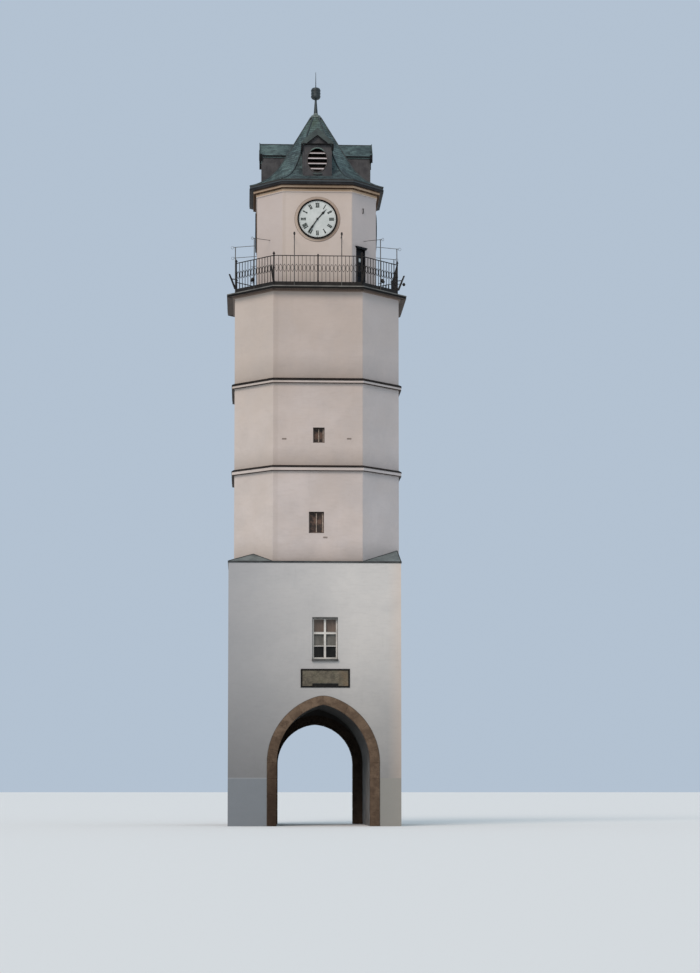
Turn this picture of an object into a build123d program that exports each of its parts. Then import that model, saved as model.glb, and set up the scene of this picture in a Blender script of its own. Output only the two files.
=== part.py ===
"""A town gate tower: a square gatehouse with a pointed passage, a shaft with cut
corners, an iron-railed gallery, a clock drum and a bell-cast copper roof.
Millimetres. X runs to the right, Y away from the viewer and Z up, and the origin
is on the shaft's axis at ground level."""

import os
from math import cos, pi, sin, sqrt, tan, radians

from build123d import *

os.makedirs("parts", exist_ok=True)

# Gatehouse, a plain box a little wider than the shaft
gate_height = 10960
gate_left_margin = 220
gate_depth_margin = 115
gate_room_wall = 1200
gate_room_face = 1530
vault_crown_cover = 152
room_floor_thickness = 150

# Passage through the gatehouse, with a stone arch at each end
front_arch_x = 240
passage_half = 1950
passage_spring = 2620
passage_rise = 2435
passage_crown = 250
front_ring_width = 382
front_ring_apex_rise = 341
front_ring_crown = 1100
front_ring_depth = 450
rear_arch_x = 100
rear_opening_half = 1680
rear_rise = 1790
rear_crown = 850
rear_ring_width = 430
rear_ring_apex_rise = 400
rear_ring_crown = 1100
rear_ring_depth = 600
ring_projection = 20

# Window over the passage and the plaque below it
gate_window_x = 303
gate_window_width = 1070
gate_window_rise = 1390
gate_window_height = 1750
gate_window_setback = 160
frame_bar = 60
transom_above_middle = 0.125
frame_depth = 90
glass_thickness = 12
sill_height = 90
sill_projection = 90
sill_overlap = 15
plaque_x = 315
plaque_width = 2050
plaque_height = 780
plaque_below_sill = 320
plaque_depth = 40
plaque_border = 50
plaque_border_projection = 25
plaque_strip_width = 1080
plaque_strip_height = 165

# Lead flashing on the gatehouse and the copper skirts on its corners
flashing_thickness = 70
flashing_projection = 25
skirt_rise_left = 380
skirt_rise_right = 620
skirt_peak_left = 0.5
skirt_peak_right = 0.95

# Shaft, a square with cut corners
shaft_half = 3505
shaft_face = 1877
shaft_wall = 900
lower_storey_height = 3810
lower_string_height = 240
middle_storey_height = 3470
upper_string_height = 225
upper_storey_height = 3675
string_projection = 105
string_slope = 60
string_slope_depth = 90
floor_bearing = 150
floor_thickness = 220

# Small windows of the shaft, one above the other on each face
lower_window_x = -57
lower_window_rise = 1190
lower_window_width = 635
lower_window_height = 900
upper_window_x = 40
upper_window_rise = 950
upper_window_width = 485
upper_window_height = 645
small_window_setback = 130
small_frame_bar = 45
small_frame_depth = 60

# Gallery
cornice_projection = 90
cornice_height = 70
cornice_hollow = 50
cornice_soffit_step = 30
slab_thickness = 125
slab_projection = 330
slab_face = 1915
slab_edge_round = 25

# Railing of the gallery
railing_inset = 385
railing_corner_inset = 55
kerb_height = 234
railing_height = 1125
rail_width = 50
rail_depth = 26
bar_size = 20
bar_spacing = 165
post_radius = 30
post_overrise = 60
post_cap_radius = 60
post_cap_height = 30
post_sides = 8

# Poles with their wall stays, and the leaning brackets at the corners of the gallery
pole_radius = 19
pole_height = 2260
pole_offset = 1000
pole_sides = 8
stay_size = 20
stay_rise = 80
stay_overhang = 90
bracket_bar = 56
bracket_lean = 260
bracket_rise = 620
bracket_stay_height = 420

# Clock drum
drum_half = 2560
drum_face = 1459
drum_wall = 600
drum_height = 4310
door_width = 580
door_height = 1990
door_offset = -205
door_setback = 60
door_thickness = 50
door_frame_bar = 50
door_frame_depth = 120
hood_projection = 90
hood_height = 45

# Clocks, one on each broad side of the drum
clock_below_eaves = 218
dial_radius = 788
dial_thickness = 40
rim_outer_radius = 852
rim_thickness = 75
surround_outer_radius = 962
surround_thickness = 22
hand_thickness = 8
hand_gap = 12
hub_radius = 45
pipe_radius = 22
arbor_radius = 12
running_clearance = 0.3
minute_hand_length = 708
minute_hand_width = 62
minute_hand_angle = 213.5
hour_hand_length = 587
hour_hand_width = 78
hour_hand_angle = 42
hand_leaf_at = 0.62
hand_leaf_start = 0.43
hand_leaf_end = 0.775
hand_stem_ratio = 0.22
hand_neck_ratio = 0.12

# Eaves
eave_band_height = 120
eave_band_projection = 45
eave_groove_height = 42
eave_cornice_height = 114
eave_cornice_projection = 165
gutter_height = 151
eave_half = 2875
eave_face = 1530

# Bell-cast roof
roof_lip = 60
roof_knee_half = 1500
roof_knee_rise = 1215
roof_top_half = 150
roof_top_rise = 3632
roof_sheet = 70

# Dormers with louvred sound openings, one on each broad side of the roof
dormer_front = 2350
dormer_width = 1240
dormer_sill_rise = 320
dormer_eave_rise = 1660
dormer_ridge_rise = 2320
dormer_roof_width = 1330
dormer_roof_overhang = 90
dormer_roof_thickness = 60
dormer_board = 60
louvre_width = 830
louvre_height = 1020
louvre_centre_rise = 1018
louvre_count = 4
louvre_pitch = 225
louvre_blade = 35
louvre_blade_depth = 60
louvre_tilt = 45

# Finial
stem_bottom_radius = 97
stem_top_radius = 40
stem_height = 738
ball_radius = 198
ball_height = 505
ball_rounding = 95
rod_radius = 20
rod_tip_radius = 9
rod_height = 707

# Places that follow from the sizes above
gate_left = shaft_half + gate_left_margin
gate_right = shaft_half - flashing_projection
gate_depth_half = shaft_half + gate_depth_margin
gate_room_half = gate_depth_half - gate_room_wall
gate_width = gate_left + gate_right
gate_centre_x = (gate_right - gate_left) / 2
passage_apex = passage_spring + passage_rise
rear_apex = passage_spring + rear_rise
front_ring_half = passage_half + front_ring_width
front_ring_apex = passage_apex + front_ring_apex_rise
rear_ring_half = rear_opening_half + rear_ring_width
rear_ring_apex = rear_apex + rear_ring_apex_rise
vault_top = front_ring_apex + vault_crown_cover
gate_window_sill = vault_top + gate_window_rise
plaque_bottom = gate_window_sill - sill_height - plaque_below_sill - plaque_height
shaft_bottom = gate_height + flashing_thickness
lower_window_sill = shaft_bottom + lower_window_rise
lower_string_bottom = shaft_bottom + lower_storey_height
lower_string_top = lower_string_bottom + lower_string_height
upper_window_sill = lower_string_top + upper_window_rise
upper_string_bottom = lower_string_top + middle_storey_height
upper_string_top = upper_string_bottom + upper_string_height
shaft_top = upper_string_top + upper_storey_height
slab_bottom = shaft_top + cornice_height
gallery_floor = slab_bottom + slab_thickness
kerb_top = gallery_floor + kerb_height
pole_top = gallery_floor + pole_height
drum_top = gallery_floor + drum_height
clock_height = drum_top - clock_below_eaves - surround_outer_radius
eave_base = drum_top + eave_band_height + eave_groove_height + eave_cornice_height
roof_base = eave_base + gutter_height
finial_base = roof_base + roof_top_rise


def inset_face(face, inset):
    """Half the broad side of a square with cut corners, set in evenly by a distance."""
    return face - inset * (sqrt(2) - 1)


def cut_square(half, face):
    """A square with its corners cut at 45 degrees, so that each broad side keeps
    half its length, face, on each side of its middle."""
    with BuildSketch() as outline:
        Rectangle(2 * half, 2 * half)
        chamfer(outline.vertices(), half - face)
    return outline.sketch


def front_plane(x, y):
    """An upright plane that faces the viewer."""
    return Plane(origin=(x, y, 0), x_dir=(1, 0, 0), z_dir=(0, -1, 0))


def side_plane(turn, distance, height=0):
    """An upright plane that faces outwards at a distance from the axis, turned from
    the front by an angle, with its own X level and its own Y upwards."""
    outward = (sin(radians(turn)), -cos(radians(turn)), 0)
    level = (cos(radians(turn)), sin(radians(turn)), 0)
    origin = (outward[0] * distance, outward[1] * distance, height)
    return Plane(origin=origin, x_dir=level, z_dir=outward)


def pointed_outline(half, apex, crown):
    """A pointed opening that stands on the ground: two jambs, two arcs whose centres
    lie on the spring line beyond the middle, and a small arc that rounds the crown."""
    spring = passage_spring
    crown_centre = apex - crown
    lift = crown_centre - spring
    shift = (lift**2 - (half - crown) ** 2) / (2 * (half - crown))
    sweep_angle = Vector(shift, lift).get_angle(Vector(1, 0))
    with BuildSketch() as outline:
        with BuildLine():
            Polyline((-half, spring), (-half, 0), (half, 0), (half, spring))
            CenterArc((-shift, spring), half + shift, 0, sweep_angle)
            CenterArc((0, crown_centre), crown, sweep_angle, 180 - 2 * sweep_angle)
            CenterArc((shift, spring), half + shift, 180 - sweep_angle, sweep_angle)
        make_face()
    return outline.sketch


def export(piece, name):
    """Labels a finished piece and writes it."""
    piece.part.label = name
    export_step(piece.part, f"parts/{name}.step")


# Masonry beside the passage: two piers, notched for the stones of both arches
with BuildPart() as passage_space:
    with BuildSketch(front_plane(front_arch_x, gate_depth_half)):
        add(pointed_outline(passage_half, passage_apex, passage_crown))
    extrude(amount=2 * gate_depth_half - front_ring_depth)
    with BuildSketch(front_plane(front_arch_x, front_ring_depth - gate_depth_half)):
        add(pointed_outline(front_ring_half, front_ring_apex, front_ring_crown))
    extrude(amount=front_ring_depth)

with BuildPart() as rear_wall_space:
    with BuildSketch(front_plane(rear_arch_x, gate_depth_half)):
        add(pointed_outline(rear_ring_half, rear_ring_apex, rear_ring_crown))
    extrude(amount=rear_ring_depth)

with BuildPart() as open_passage:
    add(passage_space.part)
    with Locations((front_arch_x, gate_depth_half - rear_ring_depth / 2, vault_top / 2)):
        Box(2 * gate_depth_half, rear_ring_depth, vault_top, mode=Mode.SUBTRACT)
    add(rear_wall_space.part)

with BuildPart() as gate_piers:
    with BuildSketch():
        with Locations((gate_centre_x, 0)):
            Rectangle(gate_width, 2 * gate_depth_half)
    extrude(amount=passage_spring)
    add(open_passage.part, mode=Mode.SUBTRACT)
export(gate_piers, "gate_piers")

# Pointed vault over the passage, with its fill up to the room's floor
with BuildPart() as gate_vault:
    with BuildSketch(Plane.XY.offset(passage_spring)):
        with Locations((gate_centre_x, 0)):
            Rectangle(gate_width, 2 * gate_depth_half)
    extrude(amount=vault_top - passage_spring)
    add(open_passage.part, mode=Mode.SUBTRACT)
export(gate_vault, "gate_vault")

# Stone arches at the two ends of the passage
with BuildPart() as front_arch_stones:
    with BuildSketch(front_plane(front_arch_x, front_ring_depth - gate_depth_half)):
        add(pointed_outline(front_ring_half, front_ring_apex, front_ring_crown))
        add(pointed_outline(passage_half, passage_apex, passage_crown), mode=Mode.SUBTRACT)
    extrude(amount=front_ring_depth + ring_projection)
export(front_arch_stones, "front_arch_stones")

with BuildPart() as rear_arch_stones:
    with BuildSketch(front_plane(rear_arch_x, gate_depth_half + ring_projection)):
        add(pointed_outline(rear_ring_half, rear_ring_apex, rear_ring_crown))
        add(pointed_outline(rear_opening_half, rear_apex, rear_crown), mode=Mode.SUBTRACT)
    extrude(amount=rear_ring_depth + ring_projection)
export(rear_arch_stones, "rear_arch_stones")

# Floor of the room over the passage
with BuildPart() as gate_room_floor:
    with BuildSketch(Plane.XY.offset(vault_top)):
        add(cut_square(gate_room_half, gate_room_face))
    extrude(amount=room_floor_thickness)
export(gate_room_floor, "gate_room_floor")

# Walls of the gatehouse's room: front and rear with a window, plain sides, and the
# corner masonry that carries the cut corners of the shaft


def gate_wall(front):
    """The front or rear wall of the room, with its window cut through."""
    outward = -1 if front else 1
    with BuildPart() as wall:
        with BuildSketch(Plane.XY.offset(vault_top)):
            with Locations((0, outward * (gate_room_half + gate_room_wall / 2))):
                Rectangle(2 * gate_room_face, gate_room_wall)
        extrude(amount=gate_height - vault_top)
        with BuildSketch(front_plane(gate_window_x, outward * gate_depth_half)):
            with Locations((0, gate_window_sill + gate_window_height / 2)):
                Rectangle(gate_window_width, gate_window_height)
        extrude(amount=outward * gate_room_wall, mode=Mode.SUBTRACT)
        if front:
            with BuildSketch(front_plane(plaque_x, -gate_depth_half)):
                with Locations((0, plaque_bottom + plaque_height / 2)):
                    Rectangle(plaque_width, plaque_height)
            extrude(amount=-plaque_depth, mode=Mode.SUBTRACT)
    return wall


gate_front_wall = gate_wall(front=True)
export(gate_front_wall, "gate_front_wall")
gate_rear_wall = gate_wall(front=False)
export(gate_rear_wall, "gate_rear_wall")

with BuildPart() as gate_side_walls:
    with BuildSketch(Plane.XY.offset(vault_top)):
        with Locations((-(gate_left + gate_room_half) / 2, 0)):
            Rectangle(gate_left - gate_room_half, 2 * gate_room_face)
        with Locations(((gate_right + gate_room_half) / 2, 0)):
            Rectangle(gate_right - gate_room_half, 2 * gate_room_face)
    extrude(amount=gate_height - vault_top)
export(gate_side_walls, "gate_side_walls")

with BuildPart() as gate_corner_masonry:
    with BuildSketch(Plane.XY.offset(vault_top)):
        with Locations((gate_centre_x, 0)):
            Rectangle(gate_width, 2 * gate_depth_half)
        add(cut_square(gate_room_half, gate_room_face), mode=Mode.SUBTRACT)
        Rectangle(2 * gate_room_face, 2 * gate_depth_half, mode=Mode.SUBTRACT)
        Rectangle(2 * gate_left, 2 * gate_room_face, mode=Mode.SUBTRACT)
    extrude(amount=gate_height - vault_top)
export(gate_corner_masonry, "gate_corner_masonry")

# Flashing that caps the gatehouse and runs in under the shaft
shaft_room_half = shaft_half - shaft_wall
shaft_room_face = inset_face(shaft_face, shaft_wall)

with BuildPart() as ledge_flashing:
    with BuildSketch(Plane.XY.offset(gate_height)):
        with Locations((gate_centre_x, 0)):
            Rectangle(gate_width + 2 * flashing_projection, 2 * (gate_depth_half + flashing_projection))
        add(cut_square(shaft_room_half, shaft_room_face), mode=Mode.SUBTRACT)
    extrude(amount=flashing_thickness)
export(ledge_flashing, "ledge_flashing")


def corner_skirt(side, end):
    """A copper skirt on one corner of the gatehouse. It is a wedge with its low
    corner at the corner of the box, and it leans against the cut corner of the shaft:
    the left ones rise to the middle of the cut, and the right ones near its far end."""
    box_x = side * (gate_left if side < 0 else gate_right)
    corner = (box_x, end * gate_depth_half)
    near = (side * shaft_face, end * shaft_half)
    far = (side * shaft_half, end * shaft_face)
    along, rise = (
        (skirt_peak_left, skirt_rise_left) if side < 0 else (skirt_peak_right, skirt_rise_right)
    )
    peak_at = [start + along * (finish - start) for start, finish in zip(near, far)]
    bottom = shaft_bottom
    flat = [corner, near, far]
    base = [Vector(x, y, bottom) for x, y in flat]
    peak = Vector(peak_at[0], peak_at[1], bottom + rise)
    edges = [(0, 1), (1, 2), (2, 0)]
    faces = [Face(Wire.make_polygon(base, close=True))]
    faces += [Face(Wire.make_polygon([base[a], base[b], peak], close=True)) for a, b in edges]
    return Solid(Shell(faces))


with BuildPart() as corner_skirt_roofs:
    for skirt_side in (-1, 1):
        for skirt_end in (-1, 1):
            add(corner_skirt(skirt_side, skirt_end))
export(corner_skirt_roofs, "corner_skirt_roofs")


# Storeys of the shaft and the drum: four face walls and four corner walls each
def window_cut(turn, half, wall, across, sill, width, height):
    """The space of a window through the wall that faces a given way."""
    with BuildPart() as space:
        with BuildSketch(side_plane(turn, half)):
            with Locations((across, sill + height / 2)):
                Rectangle(width, height)
        extrude(amount=-wall)
    return space.part


def face_walls(bottom, top, half, face, wall, window=None):
    """Four plain walls, one on each broad side, with a window through each."""
    room_half = half - wall
    room_face = inset_face(face, wall)
    with BuildPart() as walls:
        with BuildSketch(Plane.XY.offset(bottom)):
            with PolarLocations(room_half + wall / 2, 4):
                Rectangle(wall, 2 * room_face)
        extrude(amount=top - bottom)
        if window:
            for turn in (0, 90, 180, 270):
                add(window_cut(turn, half, wall, *window), mode=Mode.SUBTRACT)
    return walls


def corner_walls(bottom, top, half, face, wall):
    """Four walls that fill the cut corners between the face walls."""
    room_half = half - wall
    room_face = inset_face(face, wall)
    with BuildPart() as walls:
        with BuildSketch(Plane.XY.offset(bottom)):
            add(cut_square(half, face))
            add(cut_square(room_half, room_face), mode=Mode.SUBTRACT)
            Rectangle(2 * room_face, 2 * half, mode=Mode.SUBTRACT)
            Rectangle(2 * half, 2 * room_face, mode=Mode.SUBTRACT)
        extrude(amount=top - bottom)
    return walls


lower_window = (lower_window_x, lower_window_sill, lower_window_width, lower_window_height)
upper_window = (upper_window_x, upper_window_sill, upper_window_width, upper_window_height)
shaft_storeys = [
    ("lower", shaft_bottom, lower_string_bottom, lower_window),
    ("middle", lower_string_top, upper_string_bottom, upper_window),
    ("upper", upper_string_top, shaft_top, None),
]
for storey, storey_bottom, storey_top, storey_window in shaft_storeys:
    storey_faces = face_walls(
        storey_bottom, storey_top, shaft_half, shaft_face, shaft_wall, storey_window
    )
    export(storey_faces, f"{storey}_shaft_face_walls")
    storey_corners = corner_walls(storey_bottom, storey_top, shaft_half, shaft_face, shaft_wall)
    export(storey_corners, f"{storey}_shaft_corner_walls")


# String courses: a stone course through the wall, with a weathered top edge
def string_course(bottom, top):
    """One string course, open inside for the floor that it holds."""
    pocket_half = shaft_room_half + floor_bearing
    pocket_face = inset_face(shaft_room_face, -floor_bearing)
    outer_half = shaft_half + string_projection
    outer_face = inset_face(shaft_face, -string_projection)
    with BuildPart() as course:
        with BuildSketch(Plane.XY.offset(bottom)):
            add(cut_square(outer_half, outer_face))
        extrude(amount=top - bottom)
        top_edges = course.faces().sort_by(Axis.Z)[-1].edges()
        chamfer(top_edges, string_slope, length2=string_slope_depth)
        with BuildSketch(Plane.XY.offset(bottom)):
            add(cut_square(pocket_half, pocket_face))
        extrude(amount=top - bottom, mode=Mode.SUBTRACT)
    return course


lower_string_course = string_course(lower_string_bottom, lower_string_top)
export(lower_string_course, "lower_string_course")
upper_string_course = string_course(upper_string_bottom, upper_string_top)
export(upper_string_course, "upper_string_course")

# Floors inside the shaft: the lowest lies on the gatehouse walls, and the others in
# the pockets of the string courses
with BuildPart() as lower_shaft_floor:
    with BuildSketch(Plane.XY.offset(gate_height)):
        add(cut_square(shaft_room_half, shaft_room_face))
    extrude(amount=floor_thickness)
export(lower_shaft_floor, "lower_shaft_floor")

with BuildPart() as upper_shaft_floors:
    for course_bottom, course_top in (
        (lower_string_bottom, lower_string_top),
        (upper_string_bottom, upper_string_top),
    ):
        with BuildSketch(Plane.XY.offset(course_bottom)):
            add(
                cut_square(
                    shaft_room_half + floor_bearing,
                    inset_face(shaft_room_face, -floor_bearing),
                )
            )
        extrude(amount=course_top - course_bottom)
export(upper_shaft_floors, "upper_shaft_floors")


# Gallery: a moulded timber cornice under a slab with a rounded edge
with BuildPart() as gallery_cornice:
    with BuildSketch(Plane.XY.offset(shaft_top)):
        add(cut_square(shaft_half + cornice_projection, inset_face(shaft_face, -cornice_projection)))
    extrude(amount=cornice_height)
    cornice_lower_edges = gallery_cornice.faces().sort_by(Axis.Z)[0].edges()
    chamfer(cornice_lower_edges, cornice_hollow, length2=cornice_projection - cornice_soffit_step)
export(gallery_cornice, "gallery_cornice")

slab_half = shaft_half + slab_projection
with BuildPart() as gallery_slab:
    with BuildSketch(Plane.XY.offset(slab_bottom)):
        add(cut_square(slab_half, slab_face))
    extrude(amount=gallery_floor - slab_bottom)
    chamfer(gallery_slab.faces().sort_by(Axis.Z)[-1].edges(), slab_edge_round)
export(gallery_slab, "gallery_slab")

# Railing: a panel of square bars between posts on each of the eight sides
railing_half = slab_half - railing_inset
railing_face = slab_face - railing_corner_inset
railing_cut_distance = (railing_half + railing_face) / sqrt(2)
railing_cut_half = (railing_half - railing_face) / sqrt(2)
handrail_top = kerb_top + railing_height
corner_post_gap = post_radius + running_clearance


def railing_panel(turn, distance, length_half, posts):
    """One side of the railing: kerb, handrail and evenly spaced bars, and a post where
    the side has its own."""
    clear_half = length_half - corner_post_gap
    bays = round(2 * clear_half / bar_spacing)
    pitch = 2 * clear_half / bays
    with BuildPart() as panel:
        with BuildSketch(side_plane(turn, distance)):
            with Locations((0, gallery_floor + kerb_height / 2)):
                Rectangle(2 * clear_half, kerb_height)
            with Locations((0, handrail_top - rail_depth / 2)):
                Rectangle(2 * clear_half, rail_depth)
        extrude(amount=rail_width / 2, both=True)
        with BuildSketch(Plane.XY.offset(kerb_top).rotated((0, 0, turn))):
            with Locations((0, -distance)):
                with GridLocations(pitch, 0, bays - 1, 1):
                    Rectangle(bar_size, bar_size)
        extrude(amount=railing_height - rail_depth)
        for post_x in posts:
            with BuildSketch(Plane.XY.offset(gallery_floor).rotated((0, 0, turn))):
                with Locations((post_x, -distance)):
                    RegularPolygon(post_radius, post_sides)
            extrude(amount=kerb_height + railing_height + post_overrise)
    return panel


railing_sides = [
    ("front", 0, railing_half, railing_face, (0,)),
    ("front_right", 45, railing_cut_distance, railing_cut_half, ()),
    ("right", 90, railing_half, railing_face, (0,)),
    ("rear_right", 135, railing_cut_distance, railing_cut_half, ()),
    ("rear", 180, railing_half, railing_face, (0,)),
    ("rear_left", 225, railing_cut_distance, railing_cut_half, ()),
    ("left", 270, railing_half, railing_face, (0,)),
    ("front_left", 315, railing_cut_distance, railing_cut_half, ()),
]
for side_name, side_turn, side_distance, side_half, side_posts in railing_sides:
    side_panel = railing_panel(side_turn, side_distance, side_half, side_posts)
    export(side_panel, f"railing_{side_name}")

# Corner posts of the railing, with flat round caps
railing_corners = []
for quarter in range(4):
    for corner_turn, near_x, near_y in (
        (22.5, railing_face, -railing_half),
        (67.5, railing_half, -railing_face),
    ):
        corner = Vector(near_x, near_y).rotate(Axis.Z, 90 * quarter)
        railing_corners.append((corner_turn + 90 * quarter, corner.X, corner.Y))
post_places = [(x, y) for _, x, y in railing_corners]
post_top = kerb_top + railing_height + post_overrise
with BuildPart() as railing_posts:
    with BuildSketch(Plane.XY.offset(gallery_floor)):
        with Locations(*post_places):
            RegularPolygon(post_radius, post_sides)
    extrude(amount=post_top - gallery_floor)
    with BuildSketch(Plane.XY.offset(post_top)):
        with Locations(*post_places):
            RegularPolygon(post_cap_radius, post_sides)
    extrude(amount=post_cap_height)
export(railing_posts, "railing_posts")

# Leaning brackets at the corners, each flat against the outer side of its post
bracket_foot = kerb_top
bracket_start = post_radius * cos(pi / post_sides)
bracket_end = bracket_start + bracket_bar
with BuildPart() as corner_brackets:
    for corner_turn, corner_x, corner_y in railing_corners:
        outward = (sin(radians(corner_turn)), -cos(radians(corner_turn)), 0)
        across = (outward[1], -outward[0], 0)
        with BuildSketch(Plane(origin=(corner_x, corner_y, bracket_foot), x_dir=outward, z_dir=across)):
            with BuildLine():
                Polyline(
                    (bracket_start, 0),
                    (bracket_end, 0),
                    (bracket_end + bracket_lean, bracket_rise),
                    (bracket_start + bracket_lean, bracket_rise),
                    (bracket_start, bracket_bar),
                    close=True,
                )
            make_face()
            with Locations((bracket_start, bracket_stay_height)):
                Rectangle(
                    bracket_lean * bracket_stay_height / bracket_rise + bracket_bar / 2,
                    bracket_bar / 2,
                    align=(Align.MIN, Align.CENTER),
                )
        extrude(amount=bracket_bar / 2, both=True)
export(corner_brackets, "corner_brackets")

# Thin poles against the outside of the railing, each with a stay over the walkway
# that rises to the wall of the drum
drum_cut_distance = (drum_half + drum_face) / sqrt(2)
pole_out = rail_width / 2 + pole_radius
pole_places = []
for pole_turn in (0, 90, 180, 270):
    for pole_x in (-pole_offset, pole_offset):
        pole_places.append((pole_turn, railing_half + pole_out, drum_half, pole_x))
    pole_places.append((pole_turn + 45, railing_cut_distance + pole_out, drum_cut_distance, 0))

with BuildPart() as lamp_poles:
    for pole_turn, pole_distance, wall_distance, pole_x in pole_places:
        with BuildSketch(Plane.XY.offset(gallery_floor).rotated((0, 0, pole_turn))):
            with Locations((pole_x, -pole_distance)):
                RegularPolygon(pole_radius, pole_sides)
        extrude(amount=pole_top - gallery_floor)
        stay_outer = -pole_distance - stay_overhang
        with BuildSketch(side_plane(pole_turn + 90, pole_x)):
            with BuildLine():
                Polyline(
                    (stay_outer, pole_top - stay_size),
                    (-pole_distance, pole_top - stay_size),
                    (-wall_distance, pole_top - stay_size + stay_rise),
                    (-wall_distance, pole_top + stay_rise),
                    (-pole_distance, pole_top),
                    (stay_outer, pole_top),
                    close=True,
                )
            make_face()
        extrude(amount=stay_size / 2, both=True)
export(lamp_poles, "lamp_poles")

# Clock drum, with the gallery door cut through the front right corner wall
drum_faces = face_walls(gallery_floor, drum_top, drum_half, drum_face, drum_wall)
export(drum_faces, "drum_face_walls")

door_turn = 45
with BuildPart() as drum_corners:
    add(corner_walls(gallery_floor, drum_top, drum_half, drum_face, drum_wall).part)
    with BuildSketch(side_plane(door_turn, drum_cut_distance)):
        with Locations((door_offset, gallery_floor + door_height / 2)):
            Rectangle(door_width, door_height)
    extrude(amount=-2 * drum_wall, mode=Mode.SUBTRACT)
export(drum_corners, "drum_corner_walls")

with BuildPart() as gallery_door_frame:
    with BuildSketch(side_plane(door_turn, drum_cut_distance)):
        with Locations((door_offset, gallery_floor + door_height / 2)):
            Rectangle(door_width, door_height)
        with Locations((door_offset, gallery_floor + (door_height - door_frame_bar) / 2)):
            Rectangle(door_width - 2 * door_frame_bar, door_height - door_frame_bar, mode=Mode.SUBTRACT)
    extrude(amount=-door_frame_depth)
    with BuildSketch(side_plane(door_turn, drum_cut_distance)):
        with Locations((door_offset, gallery_floor + door_height + hood_height / 2)):
            Rectangle(door_width + 2 * door_frame_bar, hood_height)
        with Locations((door_offset, gallery_floor + door_height - door_frame_bar / 2)):
            Rectangle(door_width, door_frame_bar)
    extrude(amount=hood_projection)
export(gallery_door_frame, "gallery_door_frame")

with BuildPart() as gallery_door:
    with BuildSketch(side_plane(door_turn, drum_cut_distance - door_setback)):
        with Locations((door_offset, gallery_floor + (door_height - door_frame_bar) / 2)):
            Rectangle(door_width - 2 * door_frame_bar, door_height - door_frame_bar)
    extrude(amount=-door_thickness)
export(gallery_door, "gallery_door")

# Eaves: a plain band, a groove, a cornice and the box gutter, each closed inside so
# that together they are the ceiling of the clock room
with BuildPart() as eave_cornice:
    band_levels = [
        (drum_top, eave_band_height, eave_band_projection),
        (drum_top + eave_band_height, eave_groove_height, 0),
        (drum_top + eave_band_height + eave_groove_height, eave_cornice_height, eave_cornice_projection),
    ]
    for band_bottom, band_height, projection in band_levels:
        with BuildSketch(Plane.XY.offset(band_bottom)):
            add(cut_square(drum_half + projection, inset_face(drum_face, -projection)))
        extrude(amount=band_height)
export(eave_cornice, "eave_cornice")

with BuildPart() as eave_gutter:
    with BuildSketch(Plane.XY.offset(eave_base)):
        add(cut_square(eave_half, eave_face))
    extrude(amount=gutter_height)
export(eave_gutter, "eave_gutter")


# Roof: each of the eight sides is one sheet surface with the same bell-cast line, and
# the hips are where neighbouring sides meet
def bell_profile(lip_half, lip, knee_half, knee_rise, top_half, top_rise):
    """The line of the roof in section: an upright lip, a hollow arc tangent to the
    straight upper slope, and a small flat top, closed along the base."""
    with BuildSketch() as section:
        with BuildLine():
            slope = Line((top_half, top_rise), (knee_half, knee_rise))
            TangentArc((knee_half, knee_rise), (lip_half, lip), tangent=slope % 1)
            Polyline((lip_half, lip), (lip_half, 0), (0, 0), (0, top_rise), (top_half, top_rise))
        make_face()
        mirror(about=Plane.YZ)
    return section.sketch


def bell_solid(inset, lip, drop):
    """The roof's form, set in by a distance and lowered at its top."""
    cut_ratio = (eave_half + eave_face) / sqrt(2) / eave_half
    with BuildPart() as bell:
        for index, turn in enumerate((0, 90, 45, 135)):
            ratio = 1 if turn % 90 == 0 else cut_ratio
            with BuildSketch(side_plane(turn, 0, roof_base)):
                add(
                    bell_profile(
                        eave_half * ratio - inset,
                        lip,
                        roof_knee_half * ratio - inset,
                        roof_knee_rise - drop,
                        (roof_top_half - drop / 2) * ratio,
                        roof_top_rise - 2 * drop,
                    )
                )
            mode = Mode.ADD if index == 0 else Mode.INTERSECT
            extrude(amount=2 * eave_half, both=True, mode=mode)
    return bell.part


roof_form = bell_solid(0, roof_lip, 0)
roof_space = bell_solid(roof_sheet, roof_sheet / 2, roof_sheet / 2)
with BuildPart() as roof_shell:
    add(roof_form)
    add(roof_space, mode=Mode.SUBTRACT)
export(roof_shell, "roof_shell")


# Dormers, with a gabled front, cheeks and a small roof that run back to the slope
def gable_outline(width, bottom, eaves, ridge):
    """The front of a gable: upright sides and two equal slopes."""
    with BuildSketch() as outline:
        with BuildLine():
            Polyline(
                (-width / 2, bottom),
                (width / 2, bottom),
                (width / 2, eaves),
                (0, ridge),
                (-width / 2, eaves),
                close=True,
            )
        make_face()
    return outline.sketch


dormer_slope = (dormer_ridge_rise - dormer_eave_rise) / (dormer_roof_width / 2)
dormer_roof_drop = dormer_roof_thickness * sqrt(1 + dormer_slope**2)
wall_ridge_rise = dormer_ridge_rise - dormer_roof_drop
wall_eave_rise = wall_ridge_rise - dormer_slope * dormer_width / 2
inner_half = dormer_width / 2 - dormer_board
inner_ridge_rise = wall_ridge_rise - dormer_board * sqrt(1 + dormer_slope**2)
inner_eave_rise = inner_ridge_rise - dormer_slope * inner_half

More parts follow.
